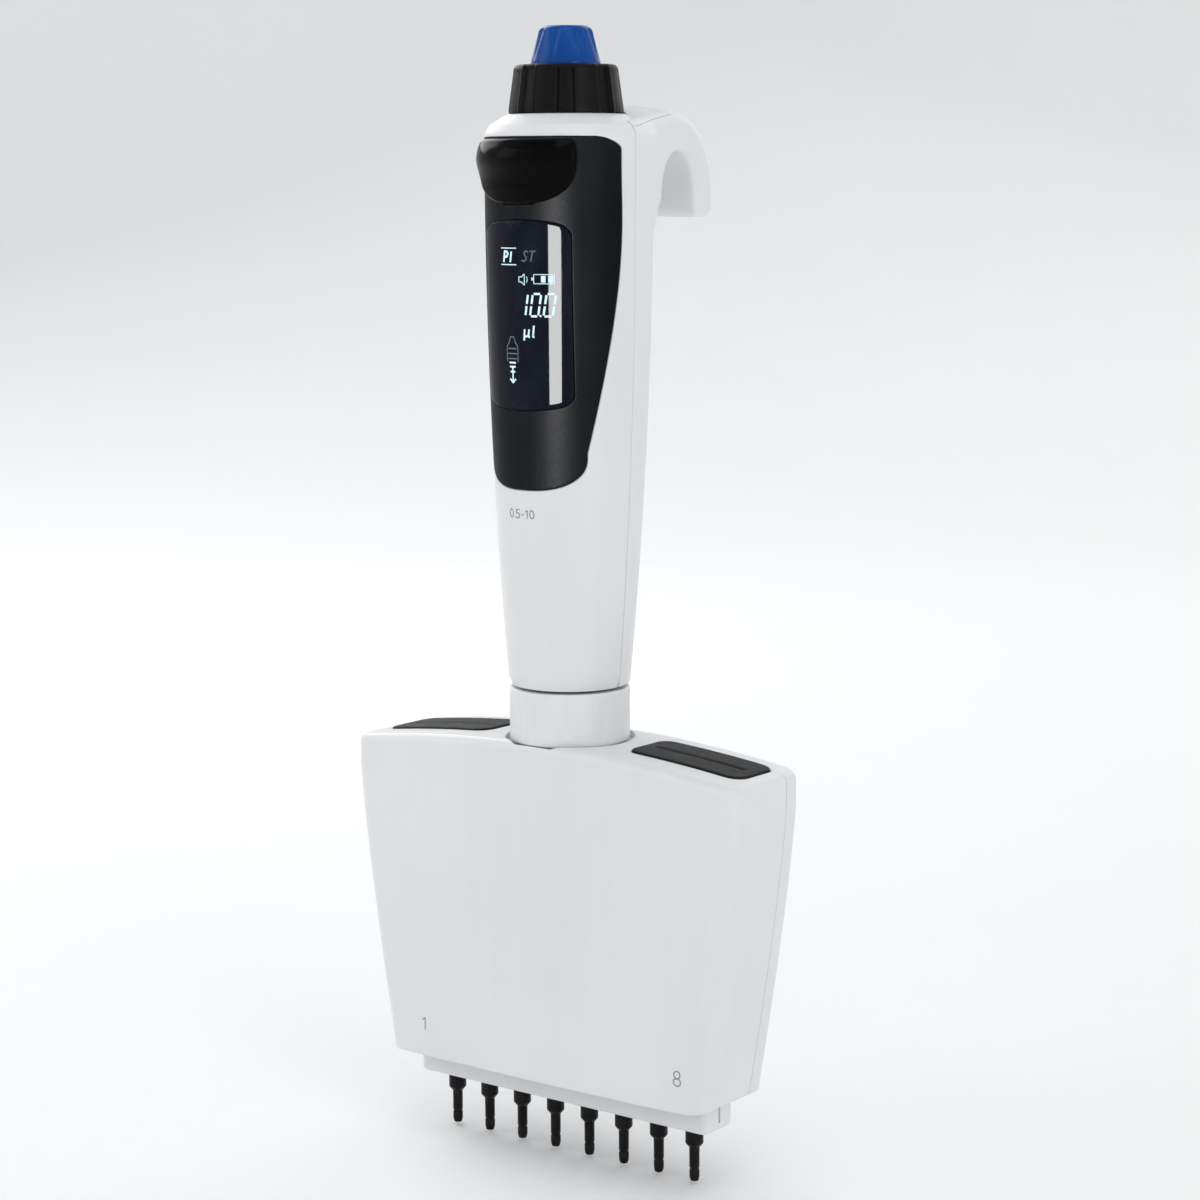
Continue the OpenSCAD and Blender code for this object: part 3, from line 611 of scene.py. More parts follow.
# How far round the front a point at x lies: spread times asin(x / halfWidth).
def aroundFront(x, z):
    return handle["spread"] * np.arcsin(np.clip(x / halfWidth(z), -1, 1))


panel = {"foot": 140.9, "top": 210.8, "halfWidth": 16.5, "thickness": 1.0, "footHeight": 7.6, "corner": 2.6,
         "seam": 0.09, "rounding": 0.22, "points": 640}


# Half the panel's width: full at the top, less by 4.8 ((199 - z) / 53)^2.25 lower down.
def panelEdge(z):
    return panel["halfWidth"] - 4.8 * (np.maximum(0, 199 - z) / 53) ** 2.25


# The panel's right side from the bottom middle, as superellipse foot, flank, corner and top.
def panelRight():
    shoulder = panel["foot"] + panel["footHeight"]
    a = quarter(60)
    foot = [panelEdge(shoulder) * np.sin(a) ** (2 / 2.8),
            shoulder - panel["footHeight"] * np.cos(a) ** (2 / 2.8)]
    z = np.linspace(shoulder, panel["top"] - panel["corner"], 90)[1:]
    flank = [panelEdge(z), z]
    a = quarter(24)[1:]
    corner = [panelEdge(panel["top"]) - panel["corner"] * (1 - np.cos(a)),
              panel["top"] - panel["corner"] * (1 - np.sin(a))]
    topX = np.linspace(panelEdge(panel["top"]) - panel["corner"], 0, 30)[1:]
    top = [topX, np.full_like(topX, panel["top"])]
    x, z = np.concatenate([foot, flank, corner, top], axis=1)
    return spots(aroundFront(x, z), z)


window = {"foot": 157.0, "top": 194.5, "halfWidth": 10.6, "bow": 1.2, "corner": 1.6, "proud": 0.15,
          "thickness": 1.0, "rounding": 0.18}


# The window's outline: straight flanks, with ends bowed by 1.2 (x/w)^2 + 1.6 (x/w)^12.
def windowLoop(grow, count):
    w = window["halfWidth"] + grow
    x = w * np.sin(quarter(70))
    dip = window["bow"] * (x / w) ** 2 + window["corner"] * (x / w) ** 12
    right = np.concatenate([
        spots(x, window["foot"] - grow + dip),
        spots(x, window["top"] + grow - dip)[::-1]])
    flank = np.linspace(right[69], right[70], 60)[1:-1]
    loop = evenLoop(mirrored(np.vstack([right[:70], flank, right[70:]])), count)
    return spots(aroundFront(loop[:, 0], loop[:, 1]), loop[:, 1])


panelLoop = evenLoop(mirrored(panelRight()), panel["points"])


# The surround of the panel: the handle's radius at the split, the heights where the split's
# stretches end and the panel's points that face those ends, and the thicker rim at the top.
surround = {"splitRadius": 14.4, "hip": 140.0, "brow": 208.0, "stops": (0, 32, 59, 146, 184),
            "rounding": 0.3, "run": 12, "rows": 26, "brim": 2.6, "brimLow": 209}


# The white front half of the housing, round the panel. Its outer boundary is the split at
# the sides, the foot and the top edge, and each stretch of it faces a stretch of the panel.
def frontHousing():
    side = np.pi / 2 + np.arcsin((handle["splitY"] - handle["splitGap"]) / surround["splitRadius"])
    edge = handle["spread"] * side
    right = np.array([[0, handle["low"]], [edge, handle["low"]],
                      [edge, surround["hip"]], [edge, surround["brow"]],
                      [edge, handle["top"]], [0, handle["top"]]])
    inner = panelRight()
    stops = [*surround["stops"], len(inner) - 1]
    rim, outline = [], []
    for a, b, start, end in zip(stops[:-1], stops[1:], right[:-1], right[1:]):
        part = np.linspace(0, 1, b - a + 1)[1 if a else 0:]
        rim.append(between(start, end, part[:, None]))
        outline.append(inner[a:b + 1][1 if a else 0:])
    outer, hole = mirrored(np.vstack(rim)), mirrored(np.vstack(outline))
    rounding = surround["rounding"]
    angle = np.linspace(np.pi / 2, 0, 5)
    share = np.concatenate([rounding * (1 - np.sin(angle)) / surround["run"],
                            np.linspace(0.03, 1, surround["rows"])])
    drop = np.concatenate([rounding * (1 - np.cos(angle)), np.zeros(surround["rows"])])
    face = np.array([between(hole, outer, s) for s in share])
    back = np.array([between(hole, outer, s) for s in np.linspace(1, 0, surround["rows"])])
    over = handleFront(face[..., 0], face[..., 1], -drop[:, None] + 0 * face[..., 0])
    wall = -handle["wall"] - surround["brim"] * smooth(surround["brimLow"], handle["top"], back[..., 1])
    below = handleFront(back[..., 0], back[..., 1], wall + shoulderDraw(back[..., 1]))
    points = np.concatenate([over, below])
    return makeMesh("frontHousing", points, gridFaces(len(points), len(outer), True, True))


key = {"foot": 197.6, "top": 210.4, "halfWidth": 11.2, "gap": 0.3, "ridgeLow": 206.1, "ridgeHigh": 207.9,
       "ridgeLift": 2.78, "sideLift": 2.0, "footLift": 0.95, "topLift": 1.0, "scoopLift": 1.25,
       "rounding": 0.6, "corner": 1.3, "power": 0.75, "share": 0.62, "points": 420}


# The key's outline in front: a shield, wide and straight at the top, rounded below.
def keyLoop():
    h = key["top"] - key["foot"]
    a = np.linspace(-np.pi / 2, 0, 80)
    x = key["halfWidth"] * np.cos(a) ** key["power"]
    z = key["foot"] + h * key["share"] * (1 - np.abs(np.sin(a)) ** key["power"])
    corner = quarter(16)
    cornerX = key["halfWidth"] - key["corner"] * (1 - np.cos(corner))
    cornerZ = key["top"] - key["corner"] * (1 - np.sin(corner))
    right = np.concatenate([spots(x, z), spots(cornerX, cornerZ), [[0, key["top"]]]])
    loop = evenLoop(mirrored(right), key["points"])
    return spots(aroundFront(loop[:, 0], loop[:, 1]), loop[:, 1])


# The key's face, by height: a scoop that rises to a rounded ridge, highest in the middle,
# and a flat facet that falls from the ridge to the top edge.
def keyLift(u, z):
    across = np.clip(np.abs(u) / aroundFront(key["halfWidth"], 205.0), 0, 1)
    ridge = between(key["ridgeLift"], key["sideLift"], across ** 1.8)
    base = between(key["footLift"], key["scoopLift"], smooth(key["foot"], key["foot"] + 3.5, z))
    rise = smooth(key["foot"] + 3.6, key["ridgeLow"] + 0.4, z) ** 1.35
    face = base + (ridge - base) * rise
    facet = ridge - 0.04 - (ridge - key["topLift"]) * (z - key["ridgeHigh"]) / (key["top"] - key["ridgeHigh"])
    return blendedMin(0.7, face, facet)


# A plain box between two corners, for cutting.
def pressBox(name, low, high):
    low, high = np.array(low), np.array(high)
    corner = np.array([[i, j, k] for i in (0, 1) for j in (0, 1) for k in (0, 1)])
    faces = [[0, 1, 3, 2], [4, 6, 7, 5], [0, 4, 5, 1], [2, 3, 7, 6], [0, 2, 6, 4], [1, 5, 7, 3]]
    return makeMesh(name, low + (high - low) * corner, faces)


# A round cutter along y between two depths.
def pinHole(name, x, z, radius, front, back):
    count = 48
    a = circle(count)
    ring = spots(x + radius * np.cos(a), 0 * a, z + radius * np.sin(a))
    rows = [[x, front, z] + 0 * ring, ring + [0, front, 0], ring + [0, back, 0], [x, back, z] + 0 * ring]
    return makeMesh(name, rows, gridFaces(4, count, False, True))


dress("frontHousing", frontHousing(), "white_shell", "handle", ["front_housing"])

tongue, tongueTop = localBox("key_bracket")
keySlot = {"half": 3.9, "front": -30, "back": -4, "travel": 5.1, "gap": 0.1}
slotBox = pressBox("keySlot", [-keySlot["half"], keySlot["front"], tongue[2] - keySlot["travel"]],
                   [keySlot["half"], keySlot["back"], tongueTop[2] + keySlot["gap"]])
windowHole = windowLoop(panel["seam"], panel["points"])
panelMesh = plate("frontPanel", handleFront, grownLoop(panelLoop, -panel["seam"]), level(0.0),
                  level(-panel["thickness"] + 0.02), panel["rounding"], windowHole, 40)
dress("frontPanel", cutMesh(panelMesh, [slotBox]), "black_panel", "handle", ["front_panel"])

windowMesh = plate("displayWindow", handleFront, windowLoop(0, 480), level(window["proud"]),
                   level(window["proud"] - window["thickness"]), window["rounding"])
dress("displayWindow", windowMesh, "screen", "handle", ["display_window"])

keyMesh = plate("ejectorKey", handleFront, keyLoop(), keyLift, level(key["gap"]), key["rounding"], None, 60)
dress("ejectorKey", keyMesh, "black_gloss", "ejector", ["ejector_key"])
print("handle front made")


# The hook over the back: a crest that falls away from the shoulder, a round back, an arch
# under it and a lip. Lengths in millimetres, with y towards the back.
hook = {"crest": 217.2, "fall": 0.125, "shoulder": 18.0, "axisZ": 197.5, "reach": 34.8, "power": 2.4,
        "crown": 1.9, "halfWidth": 15.9, "narrowing": 3.5, "rounding": 1.9, "lip": 194.5, "lipRounding": 2.2,
        "archY": 19.4, "archZ": 198.6, "archHalf": 6.6, "archHeight": 9.2, "archRounding": 1.2, "fillet": 1.6,
        "run": 31.8, "lean": 0.22, "step": 0.5}


# Signed distance, to first order, to a superellipse |a/p|^n + |b/q|^n = 1: (m - 1) over the
# length of m's slope, where m is the n-th root of the sum.
def superDistance(a, b, p, q, n):
    a, b = np.abs(a) / p, np.abs(b) / q
    m = np.maximum((a ** n + b ** n) ** (1 / n), 1e-3)
    slope = m ** (1 - n) * np.sqrt((a ** (n - 1) / p) ** 2 + (b ** (n - 1) / q) ** 2)
    return (m - 1) / np.maximum(slope, 1 / 20)


# The handle's rear form, drawn in by inset, between two heights with rounded ends.
def rearForm(x, y, z, inset, low, high, foot, top):
    power = between(2, handle["rearPower"], fade(grown(z), handle["rearRise"]))
    sides = superDistance(x, y, halfWidth(z) - inset, rearDepth(z) - inset, power)
    return roundedMax(foot, roundedMax(top, sides, z - high), low - z)


# The hook as a signed distance: a superellipse over the back and the crest, cut off at sides
# that narrow backwards, less the arch below, and closed by the lip.
def hookForm(x, y, z):
    narrow = hook["narrowing"] * np.clip(y / hook["run"], 0, 1.1) ** 1.2
    sunk = np.maximum(hook["archZ"] - z, 0)
    half = hook["halfWidth"] - narrow - np.where(y < hook["archY"], hook["lean"] * sunk, 0)
    crown = hook["crown"] * np.clip(x / half, -1, 1) ** 2
    back = hook["reach"] - hook["shoulder"]
    ahead = np.maximum(hook["shoulder"] - y, 0)
    up = z + crown + hook["fall"] * ahead ** 2 / (ahead + 1.5) - hook["axisZ"]
    outer = superDistance(np.maximum(y - hook["shoulder"] + crown * 0.3, 0), np.maximum(up, 0),
                          back, hook["crest"] - hook["axisZ"], hook["power"])
    body = roundedMax(hook["rounding"], outer, np.abs(x) - half)
    arch = superDistance(y - hook["archY"], z - hook["archZ"], hook["archHalf"], hook["archHeight"], 2.0)
    strip = np.maximum(hook["archY"] - hook["archHalf"] - 0.25 * sunk - y,
                       y - hook["archY"] - hook["archHalf"])
    arch = np.where(z > hook["archZ"], arch, strip)
    body = roundedMax(hook["archRounding"], body, -arch)
    floor = np.where(y > hook["archY"], hook["lip"], hook["lip"] - 30)
    return roundedMax(hook["lipRounding"], body, floor - z)


# The rear housing's outside with the hook blended into it, less the hollow inside.
def rearDistance(x, y, z):
    outside = rearForm(x, y, z, shoulderDraw(z), handle["low"], handle["top"], handle["footRounding"],
                       handle["edge"])
    solid = blendedMin(hook["fillet"], outside, hookForm(x, y, z))
    hollow = rearForm(x, y, z, handle["wall"], handle["low"] - 5, handle["top"] - 2, 0.5, 0.5)
    return np.maximum(solid, -hollow)


# The surface where field(x, y, z) is zero, by surface nets: each cell that the surface
# crosses gets one point at the mean of its crossings, and each crossed grid edge a quad. The
# points then step along the field's slope by f / |slope|^2 until they lie on the surface.
def netSurface(name, field, low, high, step):
    counts = np.ceil((np.array(high) - low) / step).astype(int) + 1
    axes = [low[i] + step * np.arange(counts[i]) for i in range(3)]
    value = field(*np.meshgrid(*axes, indexing="ij"))
    cells = counts - 1
    total, hits, quads = np.zeros((cells.prod(), 3)), np.zeros(cells.prod()), []
    for axis in range(3):
        near = np.take(value, np.arange(counts[axis] - 1), axis)
        far = np.take(value, np.arange(1, counts[axis]), axis)
        where = np.argwhere((near < 0) != (far < 0))
        a, b = near[tuple(where.T)], far[tuple(where.T)]
        spot = low + step * where.astype(float)
        spot[:, axis] += step * a / (a - b)
        across = [(axis + 1) % 3, (axis + 2) % 3]
        ring = []
        for shift in ((0, 0), (-1, 0), (-1, -1), (0, -1)):
            cell = where.copy()
            cell[:, across] += shift
            ring.append(cell)
        ring = np.array(ring)
        whole = ((ring >= 0) & (ring < cells)).all((0, 2))
        flat = np.ravel_multi_index(tuple(np.moveaxis(ring[:, whole], -1, 0)), cells)
        for number in flat:
            hits += np.bincount(number, minlength=len(hits))
            for i in range(3):
                total[:, i] += np.bincount(number, spot[whole, i], minlength=len(hits))
        quads.append(np.where((a[whole] < 0)[:, None], flat.T, flat.T[:, ::-1]))
    used, quads = np.unique(np.concatenate(quads), return_inverse=True)
    points = total[used] / hits[used][:, None]
    probe = 0.02
    for _ in range(3):
        here = field(*points.T)
        slope = spots(*[(field(*(points + probe * e).T) - field(*(points - probe * e).T)) / (2 * probe)
                        for e in np.eye(3)])
        move = -here[:, None] * slope / np.maximum((slope ** 2).sum(1), 0.05)[:, None]
        points = points + np.clip(move, -0.4 * step, 0.4 * step)
    return makeMesh(name, points, quads.reshape(-1, 4), 180)


cap = {"hole": 3.0, "holeTop": 218, "post": 8.2, "postTop": 223.4, "seat": 12.0, "foot": 15.3,
       "footDepth": 14.3, "top": 11.75, "high": 215.25, "clear": 0.03}


# The cap's plan: circles at its top, and an ellipse as wide and deep as the shoulder at its foot.
def capPlan(angle, radius, z):
    foot = 1 / np.sqrt((np.cos(angle) / cap["foot"]) ** 2 + (np.sin(angle) / cap["footDepth"]) ** 2)
    share = np.clip((radius - cap["top"]) / (cap["foot"] - cap["top"]), 0, 1)
    return radius + share * (foot - cap["foot"])


# The cap's slope as (radius, z), slightly domed: its rise is 0.65 line and 0.35 sine.
def capSlope(grow):
    part = np.linspace(0, 1, 12)
    radius = between(cap["foot"], cap["top"], part) + grow
    rise = between(part, np.sin(part * np.pi / 2), 0.35)
    return spots(radius, between(handle["top"] - 0.03, cap["high"], rise) + grow)


rearMesh = netSurface("rearHousing", rearDistance, np.array([-18.3, -0.9, 99.1]),
                      np.array([18.3, 36.0, 218.6]), hook["step"])
slope = capSlope(cap["clear"])
capSeat = turned("capSeat", np.vstack([[[0, handle["top"] - 0.02], [slope[0, 0], handle["top"] - 0.02]],
                                       slope, [[cap["seat"], cap["high"] + cap["clear"]],
                                               [cap["seat"], 230], [0, 230]]]), 160, capPlan)
capHole = turned("capHole", [[0, 205], [7.6, 205], [7.6, 213.9], [0, 213.9]], 96)
screws = {"x": 11.4, "low": 154, "high": 184, "radius": 1.62, "depth": 8.4}
wells = [pinHole("well", x, z, screws["radius"], screws["depth"], 20)
         for x in (-screws["x"], screws["x"]) for z in (screws["low"], screws["high"])]
seatLow, seatHigh = localBox("charging_contacts")
lightLow, lightHigh = localBox("hook_light")
bores = [turned("bore", [[0, seatLow[2] - 1], [1.25, seatLow[2] - 1], [1.25, seatHigh[2] + 0.05],
                         [0, seatHigh[2] + 0.05]], 32, None, (x, (seatLow[1] + seatHigh[1]) / 2))
         for x in (-5, 5)]
lightAt = (0, (lightLow[1] + lightHigh[1]) / 2)
lightBore = turned("lightBore", [[0, lightLow[2] - 0.05], [1.15, lightLow[2] - 0.05], [1.15, 220], [0, 220]],
                   32, None, lightAt)
frontHalf = pressBox("frontHalf", [-30, -30, 90], [30, handle["splitY"] + handle["splitGap"], 230])
rearMesh = cutMesh(rearMesh, [frontHalf, capSeat,
                              joinMeshes("rearCuts", wells + bores + [lightBore, capHole])], 32)
dress("rearHousing", rearMesh, "white_shell", "handle", ["rear_housing"])
print("rear housing made:", len(rearMesh.polygons), "faces")


# The domed cap under the ring, with the bearing post that the ring turns on.
capProfile = np.vstack([
    [[cap["hole"], handle["top"] + 0.3], [cap["hole"], handle["top"] - 0.03],
     [cap["foot"] - 0.2, handle["top"] - 0.03]],
    capSlope(0),
    roundedProfile([[cap["top"] - 0.1, cap["high"], 0], [8.9, cap["high"], 0.3],
                    [cap["post"], cap["high"] + 0.06, 0.2], [cap["post"], cap["postTop"], 0.3],
                    [7.3, cap["postTop"], 0.2], [7.3, cap["holeTop"], 0], [cap["hole"], cap["holeTop"], 0],
                    [cap["hole"], handle["top"] + 0.3, 0]], 5)])
dress("topCap", turned("topCap", capProfile, 192, capPlan), "white_shell", "handle", ["top_cap"])

ring = {"bore": 8.27, "step": 223.6, "rim": 7.36, "radius": 11.68, "low": 215.4, "high": 225.0, "pads": 8,
        "turn": -52.0, "depth": 0.75, "half": 8.6,
        "edge": 2.4, "lean": 1.15}


# How far an angle lies from the middle of the nearest of some even turns, in degrees.
def offTurn(angle, number, turn):
    step = 360 / number
    return (np.degrees(angle) - turn + step / 2) % step - step / 2


# Grip grooves between wide pads: the outer wall drops by depth inside half degrees of each
# groove's middle, over a steep edge, and less towards the rim.
def ringGrooves(angle, radius, z):
    off = np.abs(offTurn(angle, ring["pads"], ring["turn"]))
    inside = 1 - smooth(ring["half"] - ring["edge"] / 2, ring["half"] + ring["edge"] / 2, off)
    lip = 0.10 * np.exp(-((off - ring["half"] - 1.6) / 1.2) ** 2)  # a slight bead beside each groove
    outside = smooth(9.2, 10.1, radius)
    tall = 1 - 0.8 * smooth(ring["high"] - 1.3, ring["high"] - 0.3, z)
    return radius + (lip - ring["depth"] * inside) * outside * tall


ringProfile = np.vstack([
    roundedProfile([[ring["bore"], ring["step"], 0], [ring["bore"], ring["low"] + 0.02, 0.1],
                    [ring["radius"] - 0.1, ring["low"], 0.2],
                    [ring["radius"] - 0.12, ring["low"] + 0.6, 0.3],
                    [between(ring["radius"], ring["radius"] - ring["lean"], 0.15), ring["low"] + 1.2, 0]], 4),
    np.linspace([between(ring["radius"], ring["radius"] - ring["lean"], 0.16), ring["low"] + 1.3],
                [ring["radius"] - ring["lean"], ring["high"] - 1.5], 16),
    roundedProfile([[ring["radius"] - ring["lean"], ring["high"] - 1.4, 0],
                    [ring["radius"] - ring["lean"] - 0.1, ring["high"] - 0.02, 1.1],
                    [8.0, ring["high"] - 0.02, 0.4], [ring["rim"], ring["high"] - 0.6, 0.1],
                    [ring["rim"], ring["step"], 0], [ring["bore"], ring["step"], 0]], 8)])
dress("volumeRing", turned("volumeRing", ringProfile, 480, ringGrooves, (0, 0), 30), "black_grip", "ring",
      ["volume_ring"])

button = {"radius": 6.98, "stem": 2.5, "low": 210.2, "skirt": 220.4, "roof": 225.5, "top": 232.6,
          "scoops": 8, "turn": -52.0 + 22.5, "depth": 0.62,
          "half": 14.0}


# Scoops cut into the wall: dips of depth s (1 - (off / (half s))^2), where s grows from near
# 0 at the skirt to 1 under the top edge, so the ridges between them narrow upwards.
def buttonScoops(angle, radius, z):
    off = offTurn(angle, button["scoops"], button["turn"])
    s = np.clip((z - 226.0) / 5.2, 0.02, 1)
    dip = button["depth"] * s * np.clip(1 - (off / (button["half"] * s)) ** 2, 0, 1)
    wall = 1 - smooth(button["top"] - 1.0, button["top"] - 0.3, z)
    return radius - dip * wall * smooth(3.6, 4.6, radius)


buttonProfile = np.vstack([
    roundedProfile([[0, button["low"], 0], [button["stem"], button["low"], 0.3],
                    [button["stem"], button["skirt"], 0], [3.1, button["skirt"], 0],
                    [3.1, button["roof"], 0.3], [5.4, button["roof"], 0.3], [5.4, button["skirt"], 0],
                    [button["radius"], button["skirt"], 0.2],
                    [button["radius"], button["roof"], 0.3], [6.82, 226.1, 0]], 5),
    np.linspace([6.80, 226.2], [5.62, 230.6], 22),
    roundedProfile([[5.6, 230.7, 0], [5.2, button["top"] - 0.05, 1.45], [3.4, button["top"], 0.8],
                    [0, button["top"] - 0.04, 0]], 12)])
dress("startButton", turned("startButton", buttonProfile, 384, buttonScoops, (0, 0), 24), "blue_cap",
      "button", ["start_button"])

collar = {"bore": 11.15, "step": 97.8, "neck": 9.08, "radius": 12.38, "low": 88.4, "high": 99.4,
          "grooves": 10, "turn": 18.0, "depth": 0.22, "width": 0.055}


# Grip grooves: the radius dips by depth exp(-(a / width)^2) at even turns round the collar.
def collarGrooves(angle, radius, z):
    turn = 2 * np.pi / collar["grooves"]
    off = (angle - np.radians(collar["turn"]) + turn / 2) % turn - turn / 2
    reach = smooth(90.2, 90.9, z) * (1 - smooth(97.0, 97.7, z)) * smooth(12.0, 12.3, radius)
    return radius - collar["depth"] * np.exp(-(off / collar["width"]) ** 2) * reach


wallZ = np.linspace(collar["low"] + 0.6, collar["high"] - 0.8, 26)
collarProfile = np.vstack([
    roundedProfile([[collar["bore"], collar["step"], 0], [collar["bore"], collar["low"] + 0.1, 0.1],
                    [collar["radius"] - 0.1, collar["low"], 0.3],
                    [collar["radius"], collar["low"] + 0.5, 0]], 4),
    spots(0 * wallZ + collar["radius"], wallZ),
    roundedProfile([[collar["radius"], collar["high"] - 0.7, 0], [collar["radius"], collar["high"], 0.55],
                    [9.2, collar["high"], 0.15], [collar["neck"], collar["high"] - 0.3, 0],
                    [collar["neck"], collar["step"], 0], [collar["bore"], collar["step"], 0]], 5)])
dress("lockingCollar", turned("lockingCollar", collarProfile, 480, collarGrooves), "white_shell", "collar",
      ["locking_collar"], "whiteCollar")
spring = {"button": {"mean": 3.9, "wire": 0.3, "turns": 6},
          "ejector": {"mean": 7.3, "wire": 0.35, "turns": 7}}


# A coil spring in its CAD node's box: a round wire on a helix whose height follows
# t - sin(2 pi t) / (2 pi) over its turns, so that both ends lie flat.
def coilSpring(name, look, node):
    low, high = (corner[2] for corner in localBox(node))
    share = np.linspace(0, 1, look["turns"] * 56 + 1)[:, None]
    around = circle(14)[None, :]
    climb = share - np.sin(2 * np.pi * share) / (2 * np.pi)
    wire = np.vstack([[[0]], np.full((len(share) - 2, 1), look["wire"]), [[0]]])
    radius = look["mean"] + wire * np.cos(around)
    height = between(low + look["wire"], high - look["wire"], climb) + wire * np.sin(around)
    angle = 2 * np.pi * look["turns"] * share
    points = spots(radius * np.cos(angle), radius * np.sin(angle), height)
    return makeMesh(name, points, gridFaces(len(share), 14, False, True))


# Each spring gets its own mesh; the share it would squash by under its joint's full press is worked out and
# not used.
for word, joint in (("button", "start_press"), ("ejector", "eject_press")):
    node = word + "_spring"
    coil = dress(word + "Spring", coilSpring(word + "Spring", spring[word], node), "steel", "handle", [node])
    low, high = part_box(node)
    pressed = max(abs(end) for end in next(j for j in frame["joints"] if j["name"] == joint)["range_m"])
    1 - (pressed + 0.0001) / (high.z - low.z)
    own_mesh(coil)
print("cap, ring, button, collar and springs made")


# The manifold: rounded rectangles that widen with height under an arched top.
manifold = {"halfWidth": 49.3, "taper": 8.7, "low": 18.0, "top": 89.0, "arch": 3.5, "front": 13.0,
            "rear": 13.6, "halfDepth": 13.3,
            "corner": 4.0, "bow": 0.9, "wall": 1.8, "roof": 3.4, "rounding": 1.7, "foot": 0.5, "splitY": 6.5,
            "splitGap": 0.06, "dish": 0.3}


# Half the manifold's width: less by taper ((79 - z) / 60)^1.25 below z = 79.
def headHalf(z):
    return manifold["halfWidth"] - manifold["taper"] * np.clip((79 - z) / 60, 0, 1) ** 1.25


# The manifold's top edge: a parabola that falls by arch at x = 48.
def headTop(x):
    return manifold["top"] - manifold["arch"] * (x / 48) ** 2


# One ring of the manifold at heights z, drawn in by inset: even points on the long sides and
# the ends, corner arcs, and a bow that takes 0.9 (x/w)^2 off the front and the back.
def headRing(z, inset):
    arc, side, end = 14, 150, 24
    r = np.maximum(manifold["corner"] - inset, 0)
    w = headHalf(z) - inset
    depth = (manifold["front"] + manifold["rear"]) / 2 - inset
    middle = (manifold["rear"] - manifold["front"]) / 2
    s = np.linspace(-1, 1, side + 1)
    t = np.linspace(-1, 1, end + 1)[1:-1]
    a = np.linspace(0, np.pi / 2, arc + 1)
    # centre of each point's arc as shares of the straight runs, and its direction
    fromX = np.concatenate([s, 0 * a + 1, 0 * t + 1, 0 * a + 1, -s, 0 * a - 1, 0 * t - 1, 0 * a - 1])
    fromY = np.concatenate([0 * s - 1, 0 * a - 1, t, 0 * a + 1, 0 * s + 1, 0 * a + 1, -t, 0 * a - 1])
    alongX = np.concatenate([0 * s, np.sin(a), 0 * t + 1, np.cos(a), 0 * s, -np.sin(a), 0 * t - 1,
                             -np.cos(a)])
    alongY = np.concatenate([0 * s - 1, -np.cos(a), 0 * t, np.sin(a), 0 * s + 1, np.cos(a), 0 * t,
                             -np.sin(a)])
    x = fromX * np.maximum(w - r, 0) + alongX * r
    y = fromY * np.maximum(depth - r, 0) + alongY * r
    bow = manifold["bow"] * (x / np.maximum(w, 1)) ** 2 * np.clip(depth / manifold["halfDepth"], 0, 1)
    return x, middle + y - np.sign(y) * bow * np.minimum(1, np.abs(y) / 3)


headCount = headRing(np.zeros(1), 0)[0].size


# A row that follows the arch: each point is share of the way from low to the top over it.
def headRow(share, inset, low, dropped):
    z = np.full(headCount, low + share * 60.0)
    for _ in range(3):
        x, y = headRing(z, inset)
        z = low + share * (headTop(x) - dropped - low)
    x, y = headRing(z, inset)
    return spots(x, y, z)


# The front carries a shallow pressed field: a U-shaped dish that fades upwards and outwards.
def pressedField(points):
    x, y, z = points[..., 0], points[..., 1], points[..., 2]
    bound = np.maximum(np.abs(x) / 37.0, (46 - z) / 20.0)
    reach = 1 - smooth(0.55, 1.0, bound)
    up = 1 - smooth(60, 82, z)
    y = y + manifold["dish"] * reach * up * smooth(-8, -11, y)
    return spots(x, y, z)


# The manifold as rows of rings: the roof's underside, the inner wall downwards, the foot, the
# outer wall upwards, the rounded edge and the top.
def manifoldBody():
    rounding, foot = manifold["rounding"], manifold["foot"]
    roofShares = np.linspace(0, 1, 20)
    full = manifold["halfDepth"]
    rows = [headRow(1, between(full, manifold["wall"], s), manifold["low"], manifold["roof"])
            for s in roofShares]
    rows += [headRow(s, manifold["wall"], manifold["low"], manifold["roof"])
             for s in np.linspace(0.92, 0, 12)]
    angle = quarter(5)
    rows += [headRow(0, foot * (1 - np.sin(a)), manifold["low"] + foot * (1 - np.cos(a)), 0) for a in angle]
    rows += [pressedField(headRow(s, 0, manifold["low"] + foot, rounding)) for s in np.linspace(0.02, 1, 60)]
    angle = quarter(8)[1:]
    rows += [headRow(1, rounding * (1 - np.cos(a)), manifold["low"], rounding * (1 - np.sin(a)))
             for a in angle]
    rows += [headRow(1, between(rounding, full, s), manifold["low"], 0) for s in roofShares[1:]]
    return makeMesh("manifoldBody", np.array(rows), gridFaces(len(rows), headCount, False, True), 50)


insert = {"x": 32.0, "y": 1.4, "halfX": 13.7, "halfY": 6.7, "corner": 3.0, "proud": 0.35, "under": 1.5,
          "gap": 0.09, "rounding": 0.45, "groove": 0.35, "points": 300, "rows": 60}


# A rectangle with round corners, counter-clockwise from the middle of its lower side.
def roundedLoop(centreX, centreY, halfX, halfY, corner, count):
    a = quarter(16)
    r = corner
    right = np.concatenate([
        [[0, -halfY]],
        spots(halfX - r + r * np.sin(a), -halfY + r - r * np.cos(a)),
        spots(halfX - r + r * np.cos(a), halfY - r + r * np.sin(a)),
        [[0, halfY]]])
    return evenLoop(mirrored(right), count) + [centreX, centreY]


# The manifold's arched top at (x, y), raised by lift.
def onArch(x, y, lift):
    return spots(x, y, headTop(x) + lift)


